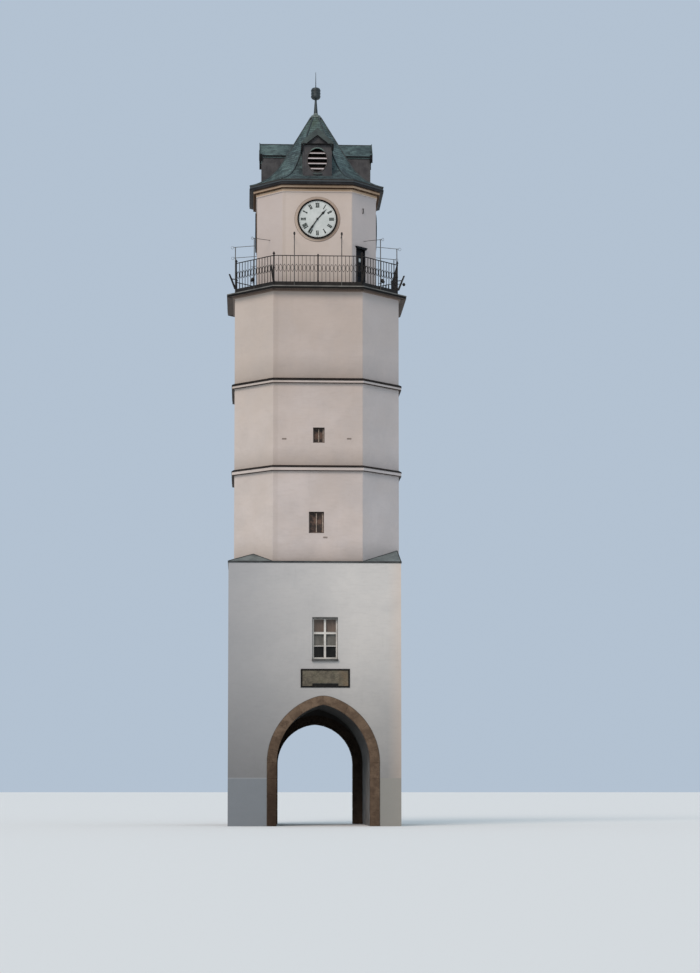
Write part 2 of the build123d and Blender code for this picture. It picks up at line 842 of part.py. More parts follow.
with BuildPart() as dormer_wall:
    with BuildSketch(side_plane(0, dormer_front, roof_base)):
        add(gable_outline(dormer_width, dormer_sill_rise, wall_eave_rise, wall_ridge_rise))
    extrude(amount=-dormer_front)
    with BuildSketch(side_plane(0, dormer_front - dormer_board, roof_base)):
        add(gable_outline(2 * inner_half, dormer_sill_rise, inner_eave_rise, inner_ridge_rise))
    extrude(amount=-dormer_front, mode=Mode.SUBTRACT)
    with BuildSketch(side_plane(0, dormer_front, roof_base)):
        with Locations((0, louvre_centre_rise)):
            Ellipse(louvre_width / 2, louvre_height / 2)
    extrude(amount=-dormer_board, mode=Mode.SUBTRACT)
    add(roof_form, mode=Mode.SUBTRACT)

with BuildPart() as dormer_walls:
    with PolarLocations(0, 4):
        add(dormer_wall.part)
export(dormer_walls, "dormer_walls")

with BuildPart() as dormer_roof:
    with BuildSketch(side_plane(0, dormer_front + dormer_roof_overhang, roof_base)):
        with BuildLine():
            Polyline(
                (-dormer_roof_width / 2, dormer_eave_rise),
                (0, dormer_ridge_rise),
                (dormer_roof_width / 2, dormer_eave_rise),
                (dormer_roof_width / 2, dormer_eave_rise - dormer_roof_drop),
                (0, wall_ridge_rise),
                (-dormer_roof_width / 2, dormer_eave_rise - dormer_roof_drop),
                close=True,
            )
        make_face()
    extrude(amount=-dormer_front)
    add(roof_form, mode=Mode.SUBTRACT)

with BuildPart() as dormer_roofs:
    with PolarLocations(0, 4):
        add(dormer_roof.part)
export(dormer_roofs, "dormer_roofs")

# Louvre blades, tilted to shed rain and cut to the oval of the opening
with BuildPart() as louvre_set:
    first_blade = louvre_centre_rise - (louvre_count - 1) * louvre_pitch / 2
    blade_rises = [first_blade + index * louvre_pitch for index in range(louvre_count)]
    for blade_rise in blade_rises:
        blade_drop = louvre_blade_depth * tan(radians(louvre_tilt))
        blade_plane = side_plane(90, -louvre_width / 2, roof_base + blade_rise)
        with BuildSketch(blade_plane):
            with BuildLine():
                Polyline(
                    (-dormer_front, -blade_drop),
                    (louvre_blade_depth - dormer_front, 0),
                    (louvre_blade_depth - dormer_front, louvre_blade),
                    (-dormer_front, louvre_blade - blade_drop),
                    close=True,
                )
            make_face()
        extrude(amount=louvre_width)
    with BuildSketch(side_plane(0, dormer_front, roof_base)):
        with Locations((0, louvre_centre_rise)):
            Ellipse(louvre_width / 2, louvre_height / 2)
    extrude(amount=-dormer_front, mode=Mode.INTERSECT)

with BuildPart() as dormer_louvres:
    with PolarLocations(0, 4):
        add(louvre_set.part)
export(dormer_louvres, "dormer_louvres")

# Finial: a tapered stem, a barrel with rounded ends and a pointed rod
with BuildPart() as finial_stem:
    with BuildSketch(Plane.XZ):
        with BuildLine():
            Polyline(
                (0, finial_base),
                (stem_bottom_radius, finial_base),
                (stem_top_radius, finial_base + stem_height),
                (0, finial_base + stem_height),
                close=True,
            )
        make_face()
    revolve(axis=Axis.Z)
export(finial_stem, "finial_stem")

ball_base = finial_base + stem_height
with BuildPart() as finial_ball:
    with Locations((0, 0, ball_base + ball_height / 2)):
        Cylinder(ball_radius, ball_height)
    fillet(finial_ball.edges().filter_by(GeomType.CIRCLE), ball_rounding)
export(finial_ball, "finial_ball")

rod_base = ball_base + ball_height
with BuildPart() as finial_rod:
    with BuildSketch(Plane.XZ):
        with BuildLine():
            Polyline(
                (0, rod_base),
                (rod_radius, rod_base),
                (rod_tip_radius, rod_base + rod_height),
                (0, rod_base + rod_height),
                close=True,
            )
        make_face()
    revolve(axis=Axis.Z)
export(finial_rod, "finial_rod")

# Clocks: plaster surround, iron rim and enamelled dial on each broad side
clock_turns = (0, 90, 180, 270)
pipe_bore = pipe_radius + running_clearance

with BuildPart() as clock_surrounds:
    for clock_turn in clock_turns:
        with BuildSketch(side_plane(clock_turn, drum_half, clock_height)):
            Circle(surround_outer_radius)
            Circle(rim_outer_radius, mode=Mode.SUBTRACT)
        extrude(amount=surround_thickness)
export(clock_surrounds, "clock_surrounds")

with BuildPart() as clock_rims:
    for clock_turn in clock_turns:
        with BuildSketch(side_plane(clock_turn, drum_half, clock_height)):
            Circle(rim_outer_radius)
            Circle(dial_radius, mode=Mode.SUBTRACT)
        extrude(amount=rim_thickness)
export(clock_rims, "clock_rims")

with BuildPart() as clock_dials:
    for clock_turn in clock_turns:
        with BuildSketch(side_plane(clock_turn, drum_half, clock_height)):
            Circle(dial_radius)
        extrude(amount=dial_thickness)
    with BuildSketch(side_plane(0, drum_half, clock_height)):
        Circle(pipe_bore)
    extrude(amount=dial_thickness, mode=Mode.SUBTRACT)
export(clock_dials, "clock_dials")

# Hands. Each is a slender blade that swells into a leaf before its point
hour_level = drum_half + dial_thickness + hand_gap
minute_level = hour_level + hand_thickness + hand_gap


def hand_outline(length, width, angle):
    """A hand that points a number of degrees clockwise from twelve."""
    stem = hand_stem_ratio * width
    neck = hand_neck_ratio * width
    with BuildSketch() as outline:
        with BuildLine():
            Polyline(
                (-stem, 0),
                (-stem, hand_leaf_start * length),
                (-width / 2, hand_leaf_at * length),
                (-neck, hand_leaf_end * length),
                (0, length),
                (neck, hand_leaf_end * length),
                (width / 2, hand_leaf_at * length),
                (stem, hand_leaf_start * length),
                (stem, 0),
                close=True,
            )
        make_face()
    return Rot(0, 0, -angle) * outline.sketch


with BuildPart() as hour_hand:
    with BuildSketch(side_plane(0, hour_level, clock_height)):
        add(hand_outline(hour_hand_length, hour_hand_width, hour_hand_angle))
        Circle(hub_radius)
    extrude(amount=hand_thickness)
    with BuildSketch(side_plane(0, hour_level, clock_height)):
        Circle(pipe_radius)
    extrude(amount=-(hand_gap + dial_thickness / 2))
    with BuildSketch(side_plane(0, hour_level + hand_thickness, clock_height)):
        Circle(arbor_radius + running_clearance)
    extrude(amount=-(hand_thickness + hand_gap + dial_thickness), mode=Mode.SUBTRACT)
export(hour_hand, "hour_hand")

with BuildPart() as minute_hand:
    with BuildSketch(side_plane(0, minute_level, clock_height)):
        add(hand_outline(minute_hand_length, minute_hand_width, minute_hand_angle))
        Circle(hub_radius)
    extrude(amount=hand_thickness)
    with BuildSketch(side_plane(0, minute_level, clock_height)):
        Circle(arbor_radius)
    extrude(amount=-(2 * hand_gap + hand_thickness + dial_thickness / 2))
export(minute_hand, "minute_hand")

with BuildPart() as fixed_clock_hands:
    for clock_turn in clock_turns[1:]:
        with BuildSketch(side_plane(clock_turn, hour_level, clock_height)):
            add(hand_outline(hour_hand_length, hour_hand_width, hour_hand_angle))
            Circle(hub_radius)
        extrude(amount=hand_thickness)
        with BuildSketch(side_plane(clock_turn, minute_level, clock_height)):
            add(hand_outline(minute_hand_length, minute_hand_width, minute_hand_angle))
            Circle(hub_radius)
        extrude(amount=hand_thickness)
        with BuildSketch(side_plane(clock_turn, drum_half + dial_thickness, clock_height)):
            Circle(pipe_radius)
        extrude(amount=2 * hand_gap + hand_thickness)
export(fixed_clock_hands, "fixed_clock_hands")


# Windows: frames, glass and sills
def window_frame(turn, face_distance, setback, across, sill, width, height, bar, depth, divided):
    """A frame round a window, with a mullion and a transom where it is divided."""
    with BuildPart() as frame:
        with BuildSketch(side_plane(turn, face_distance - setback)):
            with Locations((across, sill + height / 2)):
                Rectangle(width, height)
                Rectangle(width - 2 * bar, height - 2 * bar, mode=Mode.SUBTRACT)
                if divided:
                    Rectangle(bar, height)
                    with Locations((0, height * transom_above_middle)):
                        Rectangle(width, bar)
        extrude(amount=-depth)
    return frame.part


def window_glass(turn, face_distance, setback, across, sill, width, height, depth):
    """One sheet of glass close behind a frame."""
    with BuildPart() as sheet:
        with BuildSketch(side_plane(turn, face_distance - setback - depth)):
            with Locations((across, sill + height / 2)):
                Rectangle(width, height)
        extrude(amount=-glass_thickness)
    return sheet.part


rear_window_x = -gate_window_x
with BuildPart() as gate_window_frames:
    for window_turn, window_x in ((0, gate_window_x), (180, rear_window_x)):
        add(
            window_frame(
                window_turn,
                gate_depth_half,
                gate_window_setback,
                window_x,
                gate_window_sill,
                gate_window_width,
                gate_window_height,
                frame_bar,
                frame_depth,
                divided=True,
            )
        )
export(gate_window_frames, "gate_window_frames")

with BuildPart() as gate_window_sills:
    for window_turn, window_x in ((0, gate_window_x), (180, rear_window_x)):
        with BuildSketch(side_plane(window_turn, gate_depth_half)):
            with Locations((window_x, gate_window_sill - sill_height / 2)):
                Rectangle(gate_window_width + 2 * sill_overlap, sill_height)
        extrude(amount=sill_projection)
export(gate_window_sills, "gate_window_sills")

with BuildPart() as small_window_frames:
    for window_turn in clock_turns:
        for window in (lower_window, upper_window):
            add(
                window_frame(
                    window_turn,
                    shaft_half,
                    small_window_setback,
                    *window,
                    small_frame_bar,
                    small_frame_depth,
                    divided=False,
                )
            )
export(small_window_frames, "small_window_frames")

with BuildPart() as window_panes:
    for window_turn, window_x in ((0, gate_window_x), (180, rear_window_x)):
        add(
            window_glass(
                window_turn,
                gate_depth_half,
                gate_window_setback,
                window_x,
                gate_window_sill,
                gate_window_width,
                gate_window_height,
                frame_depth,
            )
        )
    for window_turn in clock_turns:
        for window in (lower_window, upper_window):
            add(
                window_glass(
                    window_turn, shaft_half, small_window_setback, *window, small_frame_depth
                )
            )
export(window_panes, "window_panes")

# Plaque over the passage: a bare bronze panel in an iron border
with BuildPart() as plaque_panel:
    with BuildSketch(front_plane(plaque_x, -gate_depth_half + plaque_depth)):
        with Locations((0, plaque_bottom + plaque_height / 2)):
            Rectangle(plaque_width, plaque_height)
    extrude(amount=plaque_depth)
export(plaque_panel, "plaque_panel")

with BuildPart() as plaque_border_frame:
    with BuildSketch(front_plane(plaque_x, -gate_depth_half)):
        with Locations((0, plaque_bottom + plaque_height / 2)):
            Rectangle(plaque_width, plaque_height)
            Rectangle(
                plaque_width - 2 * plaque_border,
                plaque_height - 2 * plaque_border,
                mode=Mode.SUBTRACT,
            )
        with Locations((0, plaque_bottom + plaque_strip_height / 2)):
            Rectangle(plaque_strip_width, plaque_strip_height)
    extrude(amount=plaque_border_projection)
export(plaque_border_frame, "plaque_border_frame")
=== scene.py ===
from math import pi, radians, sqrt

import bpy
import numpy as np
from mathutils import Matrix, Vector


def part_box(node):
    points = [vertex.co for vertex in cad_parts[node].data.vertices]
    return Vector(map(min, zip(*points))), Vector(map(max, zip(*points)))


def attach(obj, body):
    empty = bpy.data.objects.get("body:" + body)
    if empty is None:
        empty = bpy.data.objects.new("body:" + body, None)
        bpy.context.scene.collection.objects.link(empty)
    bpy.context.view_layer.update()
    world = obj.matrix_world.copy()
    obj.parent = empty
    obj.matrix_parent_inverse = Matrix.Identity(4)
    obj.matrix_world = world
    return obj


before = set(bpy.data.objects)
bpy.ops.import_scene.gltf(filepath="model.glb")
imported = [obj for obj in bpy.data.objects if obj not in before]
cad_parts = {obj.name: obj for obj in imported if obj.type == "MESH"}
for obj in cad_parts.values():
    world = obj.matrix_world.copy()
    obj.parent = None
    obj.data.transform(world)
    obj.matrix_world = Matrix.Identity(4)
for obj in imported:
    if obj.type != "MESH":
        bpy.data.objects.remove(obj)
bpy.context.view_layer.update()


# Camera and studio.
# A long lens stands at eye height a street's length away, a little left of the axis, as in
# the photograph. The floor and the surround are plain and pale, and the light is soft.
scene = bpy.context.scene
scene.view_settings.view_transform = "Standard"


def stand(name, data):
    """Puts a camera, a lamp or a mesh into the scene."""
    made = bpy.data.objects.new(name, data)
    scene.collection.objects.link(made)
    return made


def add_node(tree, kind, inputs, **settings):
    """Adds a shader node. Settings are its properties, and an input is a value or a socket."""
    made = tree.nodes.new("ShaderNode" + kind)
    for name, value in settings.items():
        setattr(made, name, value)
    for key, value in inputs.items():
        if isinstance(value, bpy.types.NodeSocket):
            tree.links.new(value, made.inputs[key])
        else:
            made.inputs[key].default_value = value
    return made.outputs


camera_turn, camera_pitch = 2.58, 3.92
camera_data = bpy.data.cameras.new("camera")
camera_data.lens = 85.84
camera_data.sensor_width = 36
camera_data.shift_y = 0.15
camera_data.clip_end = 9000
camera = stand("camera", camera_data)
camera.location = (-3.0, -100.0, 1.44)
camera.rotation_euler = (radians(90 + camera_pitch), 0, -radians(camera_turn))
scene.camera = camera

key_turn, key_height = -27, 38
key_data = bpy.data.lights.new("key_lamp", "SUN")
key_data.energy = 1.66
key_data.angle = radians(30)
key_data.color = (1.0, 0.84, 0.73)
key = stand("key_lamp", key_data)
key.rotation_euler = (radians(90 - key_height), 0, radians(key_turn))

surround = bpy.data.worlds.new("surround")
scene.world = surround
surround.use_nodes = True
sky = surround.node_tree
sky.nodes.clear()
rays = add_node(sky, "LightPath", {})
seen = {0: rays["Is Camera Ray"], 1: rays["Is Glossy Ray"]}
seen = {0: add_node(sky, "Math", seen, operation="MAXIMUM")[0], 1: rays["Is Transmission Ray"]}
sky_sockets = {
    "Fac": add_node(sky, "Math", seen, operation="MAXIMUM")[0],
    1: add_node(sky, "Background", {"Color": (0.79, 0.915, 1.0, 1), "Strength": 0.73})[0],
    2: add_node(sky, "Background", {"Color": (0.45, 0.537, 0.642, 1)})[0],
}
add_node(sky, "OutputWorld", {"Surface": add_node(sky, "MixShader", sky_sockets)[0]})

floor_reach = 4000
floor_corners = [(x * floor_reach, y * floor_reach, 0) for x, y in ((-1, -1), (1, -1), (1, 1), (-1, 1))]
floor_mesh = bpy.data.meshes.new("studio_floor")
floor_mesh.from_pydata(floor_corners, [], [(0, 1, 2, 3)])
floor_finish = bpy.data.materials.new("studio_floor")
floor_finish.use_nodes = True
floor_sockets = floor_finish.node_tree.nodes["Principled BSDF"].inputs
floor_sockets["Base Color"].default_value = (0.74, 0.75, 0.76, 1)
floor_sockets["Roughness"].default_value = 0.9
floor_sockets["Specular IOR Level"].default_value = 0.1
floor_mesh.materials.append(floor_finish)
stand("studio_floor", floor_mesh)


# Gatehouse masonry.
# A square block of rubble masonry with a coat of lime plaster, cool grey-white, with painted
# shade to the left of the front and towards the street, a bluish painted dado, splashes of dirt
# low down, and walls painted dark as shade inside the passage.
gate_low, gate_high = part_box("gate_piers")
dado_height = 1.995
passage_left, passage_right = 0.24 - 1.95, 0.24 + 1.95


def srgb(red, green, blue):
    """Linear colour of an 8-bit screen colour: (c + 0.055) / 1.055, to the power 2.4."""
    return tuple(((np.array([red, green, blue]) / 255 + 0.055) / 1.055) ** 2.4) + (1.0,)


class Finish:
    """A material: its shader's constant values, and the colour laid on so far. A colour is
    three screen values or a socket. A pattern is a socket, a number, or an axis with a start
    and an end, which stands for its rise. The steps that colour it return the finish."""

    def __init__(self, name, roughness, metallic=0.0, gloss=0.5):
        self.material = bpy.data.materials.new(name)
        self.material.use_nodes = True
        self.tree = self.material.node_tree
        self.shader = self.tree.nodes["Principled BSDF"].inputs
        self.shader["Roughness"].default_value = roughness
        self.shader["Metallic"].default_value = metallic
        self.shader["Specular IOR Level"].default_value = gloss

    def place(self):
        """The place of a point in the object."""
        return add_node(self.tree, "TexCoord", {})["Object"]

    def mottle(self, size, stretch=(1, 1, 1), detail=4.0, low=0.35, high=0.65):
        """Cloudy pattern from 0 to 1 with spots about size metres across, drawn out by stretch."""
        mapping = {"Vector": self.place(), "Scale": tuple(1 / (size * amount) for amount in stretch)}
        mapped = add_node(self.tree, "Mapping", mapping)["Vector"]
        noise = {"Vector": mapped, "Scale": 1.0, "Detail": detail, "Roughness": 0.6}
        clouds = add_node(self.tree, "TexNoise", noise)["Fac"]
        spread = {"Value": clouds, "From Min": low, "From Max": high}
        return add_node(self.tree, "MapRange", spread, interpolation_type="SMOOTHSTEP")["Result"]

    def ramp(self, value, start, end):
        """Goes from 0 where a value is at start to 1 where it is at end, and stays there."""
        spread = {"Value": value, "From Min": start, "From Max": end}
        return add_node(self.tree, "MapRange", spread)["Result"]

    def rise(self, axis, start, end):
        """The ramp of the place along an axis."""
        split = add_node(self.tree, "SeparateXYZ", {"Vector": self.place()})
        return self.ramp(split[axis], start, end)

    def tone(self):
        """The tone of each loose block, from 0 to 1."""
        return add_node(self.tree, "Attribute", {}, attribute_name="tone")["Fac"]

    def reckon(self, operation, *values):
        """A sum, a product or the like of one or two values."""
        return add_node(self.tree, "Math", dict(enumerate(values)), operation=operation)[0]

    def times(self, first, second):
        """The product of two patterns."""
        first, second = (self.rise(*p) if isinstance(p, tuple) else p for p in (first, second))
        return self.reckon("MULTIPLY", first, second)

    def between(self, axis, start, end, soft):
        """1 between start and end along an axis, with soft edges."""
        return self.times((axis, start - soft, start), (axis, end + soft, end))

    def mixed(self, amount, first, second):
        """The first colour where amount is 0 and the second where it is 1."""
        first, second = (srgb(*c) if isinstance(c, tuple) else c for c in (first, second))
        return add_node(self.tree, "Mix", {0: amount, 6: first, 7: second}, data_type="RGBA")[2]

    def paint(self, colour):
        """Lays a colour all over."""
        self.colour = colour
        self.tree.links.new(colour, self.shader["Base Color"])
        return self

    def tones(self, size, pale, dull, **clouds):
        """Two tones in clouds."""
        return self.paint(self.mixed(self.mottle(size, **clouds), pale, dull))

    def coat(self, colour, strength, pattern, *others):
        """Lays a colour over the rest, as strongly as strength times all the patterns."""
        for other in others:
            pattern = self.times(pattern, other)
        return self.paint(self.mixed(self.times(pattern, strength), self.colour, colour))

    def relief(self, height, depth):
        """A relief from a pattern, of a depth in metres."""
        bump = add_node(self.tree, "Bump", {"Height": height, "Distance": depth})
        self.tree.links.new(bump["Normal"], self.shader["Normal"])
        return self

    def grain(self, size, depth, **clouds):
        """A cloudy relief."""
        return self.relief(self.mottle(size, **clouds), depth)


def plaster(name, pale, dull, stain, depth):
    """Lime plaster: two tones in clouds about two metres wide, short dirty runs down the
    wall, a fine speckle, and a relief of trowel waves with a sandy grain."""
    lime = Finish(name, roughness=0.92, gloss=0.2).tones(2.1, pale, dull)
    lime.coat(stain, 0.12, lime.mottle(0.28, stretch=(1, 1, 6), low=0.55, high=0.8))
    lime.coat(stain, 0.12, lime.mottle(0.09, stretch=(5, 5, 1), detail=2.0, low=0.45, high=0.75))
    waves = lime.mottle(0.6, detail=2.0, low=0.2, high=0.8)
    sand = lime.mottle(0.02, detail=3.0, low=0.2, high=0.8)
    return lime.relief(lime.reckon("ADD", waves, lime.times(sand, 0.25)), depth)


def dress(finish, *names):
    """Gives CAD nodes a finish, in every slot they have."""
    for name in names:
        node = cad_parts[name]
        if not node.material_slots:
            node.data.materials.append(finish.material)
        for slot in node.material_slots:
            slot.material = finish.material


gate_lime = plaster("gate_plaster", (202, 199, 196), (193, 191, 189), (150, 149, 147), depth=0.012)
# Painted shade: darker to the left, a little on every wall and strongly on the front.
left_shade = gate_lime.rise("X", 1.5, gate_low.x)
front_only = ("Y", gate_low.y + 0.05, gate_low.y + 0.02)
gate_lime.coat((140, 142, 147), 0.3, left_shade)
gate_lime.coat((140, 142, 147), 0.6, left_shade, front_only)
# Painted shade: darker towards the street, as in the shade of the houses about it, more so below 6.6 metres.
# The mottled splashes near the foot are dirt.
street_shade = ("Z", 10.0, 0)
gate_lime.coat((112, 113, 114), 0.72, street_shade)
splash = gate_lime.mottle(0.9, stretch=(1, 1, 0.6))
gate_lime.coat((96, 94, 90), 0.3, ("Z", 3.0, 0.2), splash)
low_wall_shade = ("Z", 6.6, 2.2)
gate_lime.coat((84, 86, 88), 0.34, low_wall_shade)
warm_edge = ("X", 2.9, 3.5)
gate_lime.coat((202, 180, 162), 0.35, warm_edge)
dado_tone = gate_lime.mixed(gate_lime.rise("X", 2.5, -2.0), (138, 137, 132), (119, 125, 131))
gate_lime.coat(dado_tone, 0.85, ("Z", dado_height + 0.01, dado_height - 0.01))
dado_line = gate_lime.between("Z", dado_height - 0.03, dado_height + 0.01, 0.01)
gate_lime.coat((150, 153, 156), 0.4, dado_line, ("X", 1.0, 0.0))
# Painted shade inside the passage: mottled dark walls, darkest under the vault.
passage_shade = gate_lime.mixed(gate_lime.mottle(0.7), (128, 127, 126), (102, 101, 100))
passage_shade = gate_lime.mixed(gate_lime.times(("Z", 2.2, 4.4), 0.85), passage_shade, (40, 39, 37))
in_passage = gate_lime.between("X", passage_left - 0.005, passage_right + 0.005, 0.002)
between_walls = gate_lime.between("Y", gate_low.y + 0.01, gate_high.y - 0.01, 0.002)
gate_lime.coat(passage_shade, 1.0, in_passage, between_walls, ("Z", 5.30, 5.28))
gate_walls = ("piers", "vault", "corner_masonry", "front_wall", "rear_wall", "side_walls")
dress(gate_lime, *[f"gate_{wall}" for wall in gate_walls])


# Arch stones of the passage.
# Each end of the passage has a pointed ring of brown sandstone blocks, dressed with a narrow
# chamfer and set in lime mortar, a little proud of the plaster and of the vault behind.
arch_ends = {
    "front": dict(x=0.24, depth=0.45, inner=(1.95, 2.435, 0.25), outer=(2.332, 2.776, 1.10)),
    "rear": dict(x=0.10, depth=0.60, inner=(1.68, 1.79, 0.85), outer=(2.11, 2.19, 1.10)),
}
arch_spring = 2.62
ring_proud = 0.02
stone_proud = 0.012
stone_chamfer = 0.012
mortar_half = 0.006
joint_width = 0.022
joint_sink = 0.998
jamb_stones = 4
arch_stones = 7
arch_run = 1.6
chance = np.random.default_rng(11)


def pointed_line(half, rise, crown, travel):
    """Right half of a pointed opening with a rounded crown. Travel 0 to 1 climbs the jamb. From
    1 to 2 it runs evenly along two arcs that touch: a wide one whose centre is on the spring
    line at -((rise - crown)^2 - (half - crown)^2) / 2 (half - crown), then the crown's own."""
    lift, wide = rise - crown, half - crown
    shift = (lift**2 - wide**2) / (2 * wide)
    meet = np.arctan2(lift, shift)
    side_length, crown_length = (half + shift) * meet, crown * (pi / 2 - meet)
    run = np.clip(travel - 1, 0, 1) * (side_length + crown_length)
    side, top = run / (half + shift), meet + (run - side_length) / crown
    x = np.where(run < side_length, (half + shift) * np.cos(side) - shift, crown * np.cos(top))
    z = np.where(run < side_length, (half + shift) * np.sin(side), lift + crown * np.sin(top))
    return np.stack([x, arch_spring * np.clip(travel, 0, 1) + z], axis=-1)


def loft(grid, ring_rows=False):
    """Points, faces and tones of lofts, from pieces x rows x columns x 3 numbers. Each row is
    a closed outline, quads join the rows, and caps close the ends unless the rows run in a
    ring. An outline is reversed where the signed volume, the sum of the triangles' triple
    products, is negative, so that all faces point outwards."""
    grid = np.array(grid, float)
    pieces, rows, columns = grid.shape[:3]
    corner = np.arange(rows * columns).reshape(rows, columns)
    here, ahead = (corner, np.roll(corner, -1, 0)) if ring_rows else (corner[:-1], corner[1:])
    quads = np.stack([here, np.roll(here, -1, 1), np.roll(ahead, -1, 1), ahead], -1).reshape(-1, 4)
    caps = np.empty((0, columns), int) if ring_rows else np.stack([corner[0, ::-1], corner[-1]])
    fans = [np.stack([np.full(columns - 2, cap[0]), cap[1:-1], cap[2:]], -1) for cap in caps]
    triangles = np.concatenate([quads[:, [0, 1, 2]], quads[:, [0, 2, 3]]] + fans)
    volume = np.linalg.det(grid.reshape(pieces, -1, 3)[:, triangles]).sum(1)
    grid[volume < 0] = grid[volume < 0][:, :, ::-1]
    first = (np.arange(pieces) * rows * columns)[:, None, None]
    faces = (quads + first).reshape(-1, 4).tolist() + (caps + first).reshape(-1, columns).tolist()
    return grid.reshape(-1, 3), faces, np.repeat(chance.random(pieces), rows * columns)


def build(name, finish, slot, *lofts, soften=30, body="tower"):
    """One piece from several lofts, which rides on a body. The tone of each loose block is
    kept on its points, and edges sharper than an angle are left crisp."""
    starts = np.cumsum([0] + [len(points) for points, _, _ in lofts])
    faces = [[c + start for c in face] for (_, fs, _), start in zip(lofts, starts) for face in fs]
    mesh = bpy.data.meshes.new(name)
    mesh.from_pydata(np.concatenate([points for points, _, _ in lofts]), [], faces)
    mesh.polygons.foreach_set("use_smooth", np.ones(len(faces), bool))
    mesh.set_sharp_from_angle(angle=radians(soften))
    tones = mesh.attributes.new("tone", "FLOAT", "POINT")
    tones.data.foreach_set("value", np.concatenate([tone for _, _, tone in lofts]))
    mesh.materials.append(finish.material)
    piece = stand(name, mesh)
    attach(piece, body)


def ring_stones(end, size, mirror):
    """The blocks of half a ring: rows run along the line of the opening, and columns go
    round a section that is chamfered at both front arrises."""
    jambs, arch = np.linspace(0, 1, jamb_stones + 1), np.linspace(1, 2, arch_stones + 1)
    ends = np.concatenate([jambs, arch[1:]])
    unit = np.where(ends[1:] <= 1, arch_spring, size["inner"][0] * arch_run)
    gap, lip = (mortar_half / unit)[:, None], (stone_chamfer / unit)[:, None]
    start, stop = ends[:-1, None] + gap, ends[1:, None] - gap
    steps = np.linspace(0, 1, 6)[None]
    middle = (start + lip) * (1 - steps) + (stop - lip) * steps
    travel = np.concatenate([start, middle, stop], axis=1)
    inner = pointed_line(*size["inner"], travel)
    outer = pointed_line(*size["outer"], travel)
    width = size["outer"][0] - size["inner"][0]
    shrunk = np.zeros(travel.shape[1])
    shrunk[[0, -1]] = stone_chamfer
    across = [width, width, width - stone_chamfer, stone_chamfer, -stone_proud, -stone_proud]
    front = np.array([size["depth"], stone_chamfer, 0, 0, stone_chamfer, size["depth"]])
    edge = np.array([0, -1, -1, 1, 1, 0])
    part = (np.array(across)[None] + edge[None] * shrunk[:, None]) / width
    depth = np.where(front < size["depth"], front + shrunk[:, None], front)
    flat = inner[:, :, None] + part[None, :, :, None] * (outer - inner)[:, :, None]
    y = (depth - (gate_high.y + ring_proud + stone_proud)) * (1 if end == "front" else -1)
    x = size["x"] + mirror * flat[..., 0]
    return np.stack([x, np.broadcast_to(y, x.shape), flat[..., 1]], axis=-1)


arch_stone = Finish("arch_stone", 0.85, gloss=0.2).tones(0.35, (121, 102, 85), (90, 74, 61))
arch_stone.coat((94, 77, 62), 0.5, arch_stone.tone())
arch_stone.coat((46, 33, 24), 0.9, ("Z", 4.9, 1.0), ("X", 5.6, -1.8))
# Painted shade: the inner faces of the rear ring, deep in the passage, are darkened nearly to black.
arch_stone.coat((26, 23, 20), 0.8, ("Y", 2.5, 3.0), ("Y", 3.638, 3.630), ("Z", -1.5, 3.2))
arch_stone.coat((62, 50, 42), 0.35, arch_stone.mottle(0.06, detail=5.0, low=0.5, high=0.75))
arch_stone.grain(0.08, 0.012, detail=6.0)
dress(arch_stone, "front_arch_stones", "rear_arch_stones")
joint_and_shadow_grey = Finish("joint_and_shadow_grey", 0.9).tones(0.3, (96, 90, 84), (70, 64, 58)).grain(0.03, 0.002)
for end, size in arch_ends.items():
    halves = [loft(ring_stones(end, size, mirror)) for mirror in (-1, 1)]
    build(f"{end}_arch_blocks", arch_stone, "arch_stone", *halves)
    half, height, crown = size["outer"]
    travel = np.linspace(0, 2, 60)
    edge = pointed_line(half, height, crown, travel)
    grown = pointed_line(half + joint_width, height + joint_width, crown, travel)
    face = (gate_high.y + 0.003) * (-1 if end == "front" else 1)
    sunk = face * joint_sink
    dark_lines = []
    for mirror in (-1, 1):
        rows = [
            np.stack([size["x"] + mirror * line[:, 0], 0 * travel + y, line[:, 1]], -1)
            for line, y in ((edge, sunk), (grown, sunk), (grown, face), (edge, face))
        ]
        dark_lines.append(loft(np.stack(rows, 1)[None]))
    build(f"{end}_arch_joint", joint_and_shadow_grey, "arch_stone", *dark_lines)


# Window over the passage, at the front and at the rear.
# White painted timber: a fixed frame with a mullion and a transom, four sashes with mitred
# stiles, and a glazing bar across each lower sash, above a dark stone sill.
gate_wall = gate_high.y
window_middles = {0: 0.303, 180: -0.303}
window_half = 1.07 / 2
window_sill, window_top = (corner.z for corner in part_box("gate_window_frames"))
frame_face = gate_wall - 0.16
frame_bar = 0.06
transom_lift = 0.125
transom = (window_sill + window_top) / 2 + transom_lift * (window_top - window_sill)
sash_bar = 0.016
sash_face = frame_face + 0.014
sash_back = frame_face - 0.06
glazing_bar = (7.478, 7.506)


def turned_to(points, turn):
    """Carries points given as along a side, out from the axis and up, round the tower by an
    angle: along times the level unit vector plus out times the outward one."""
    points = np.asarray(points, float)
    along, out, up = points[..., 0], points[..., 1], points[..., 2]
    turn = np.radians(turn)
    x = np.cos(turn) * along + np.sin(turn) * out
    y = np.sin(turn) * along - np.cos(turn) * out
    return np.stack([x, y, up + 0 * x], axis=-1)


def lofts_at(turns, parts, ring_rows=False):
    """Lofts of some parts at each of some turns round the tower."""
    return [loft(turned_to(part, turn), ring_rows) for turn in turns for part in parts]


def frame_round(left, right, bottom, top, profile):
    """A mitred frame: a profile of (inset, out) points carried round a rectangle."""
    inset, out = np.array(profile, float).T
    corners = ((left, bottom, 1, 1), (right, bottom, -1, 1), (right, top, -1, -1), (left, top, 1, -1))
    rows = [np.stack([u + su * inset, out, z + sz * inset], -1) for u, z, su, sz in corners]
    return np.stack(rows)[None]


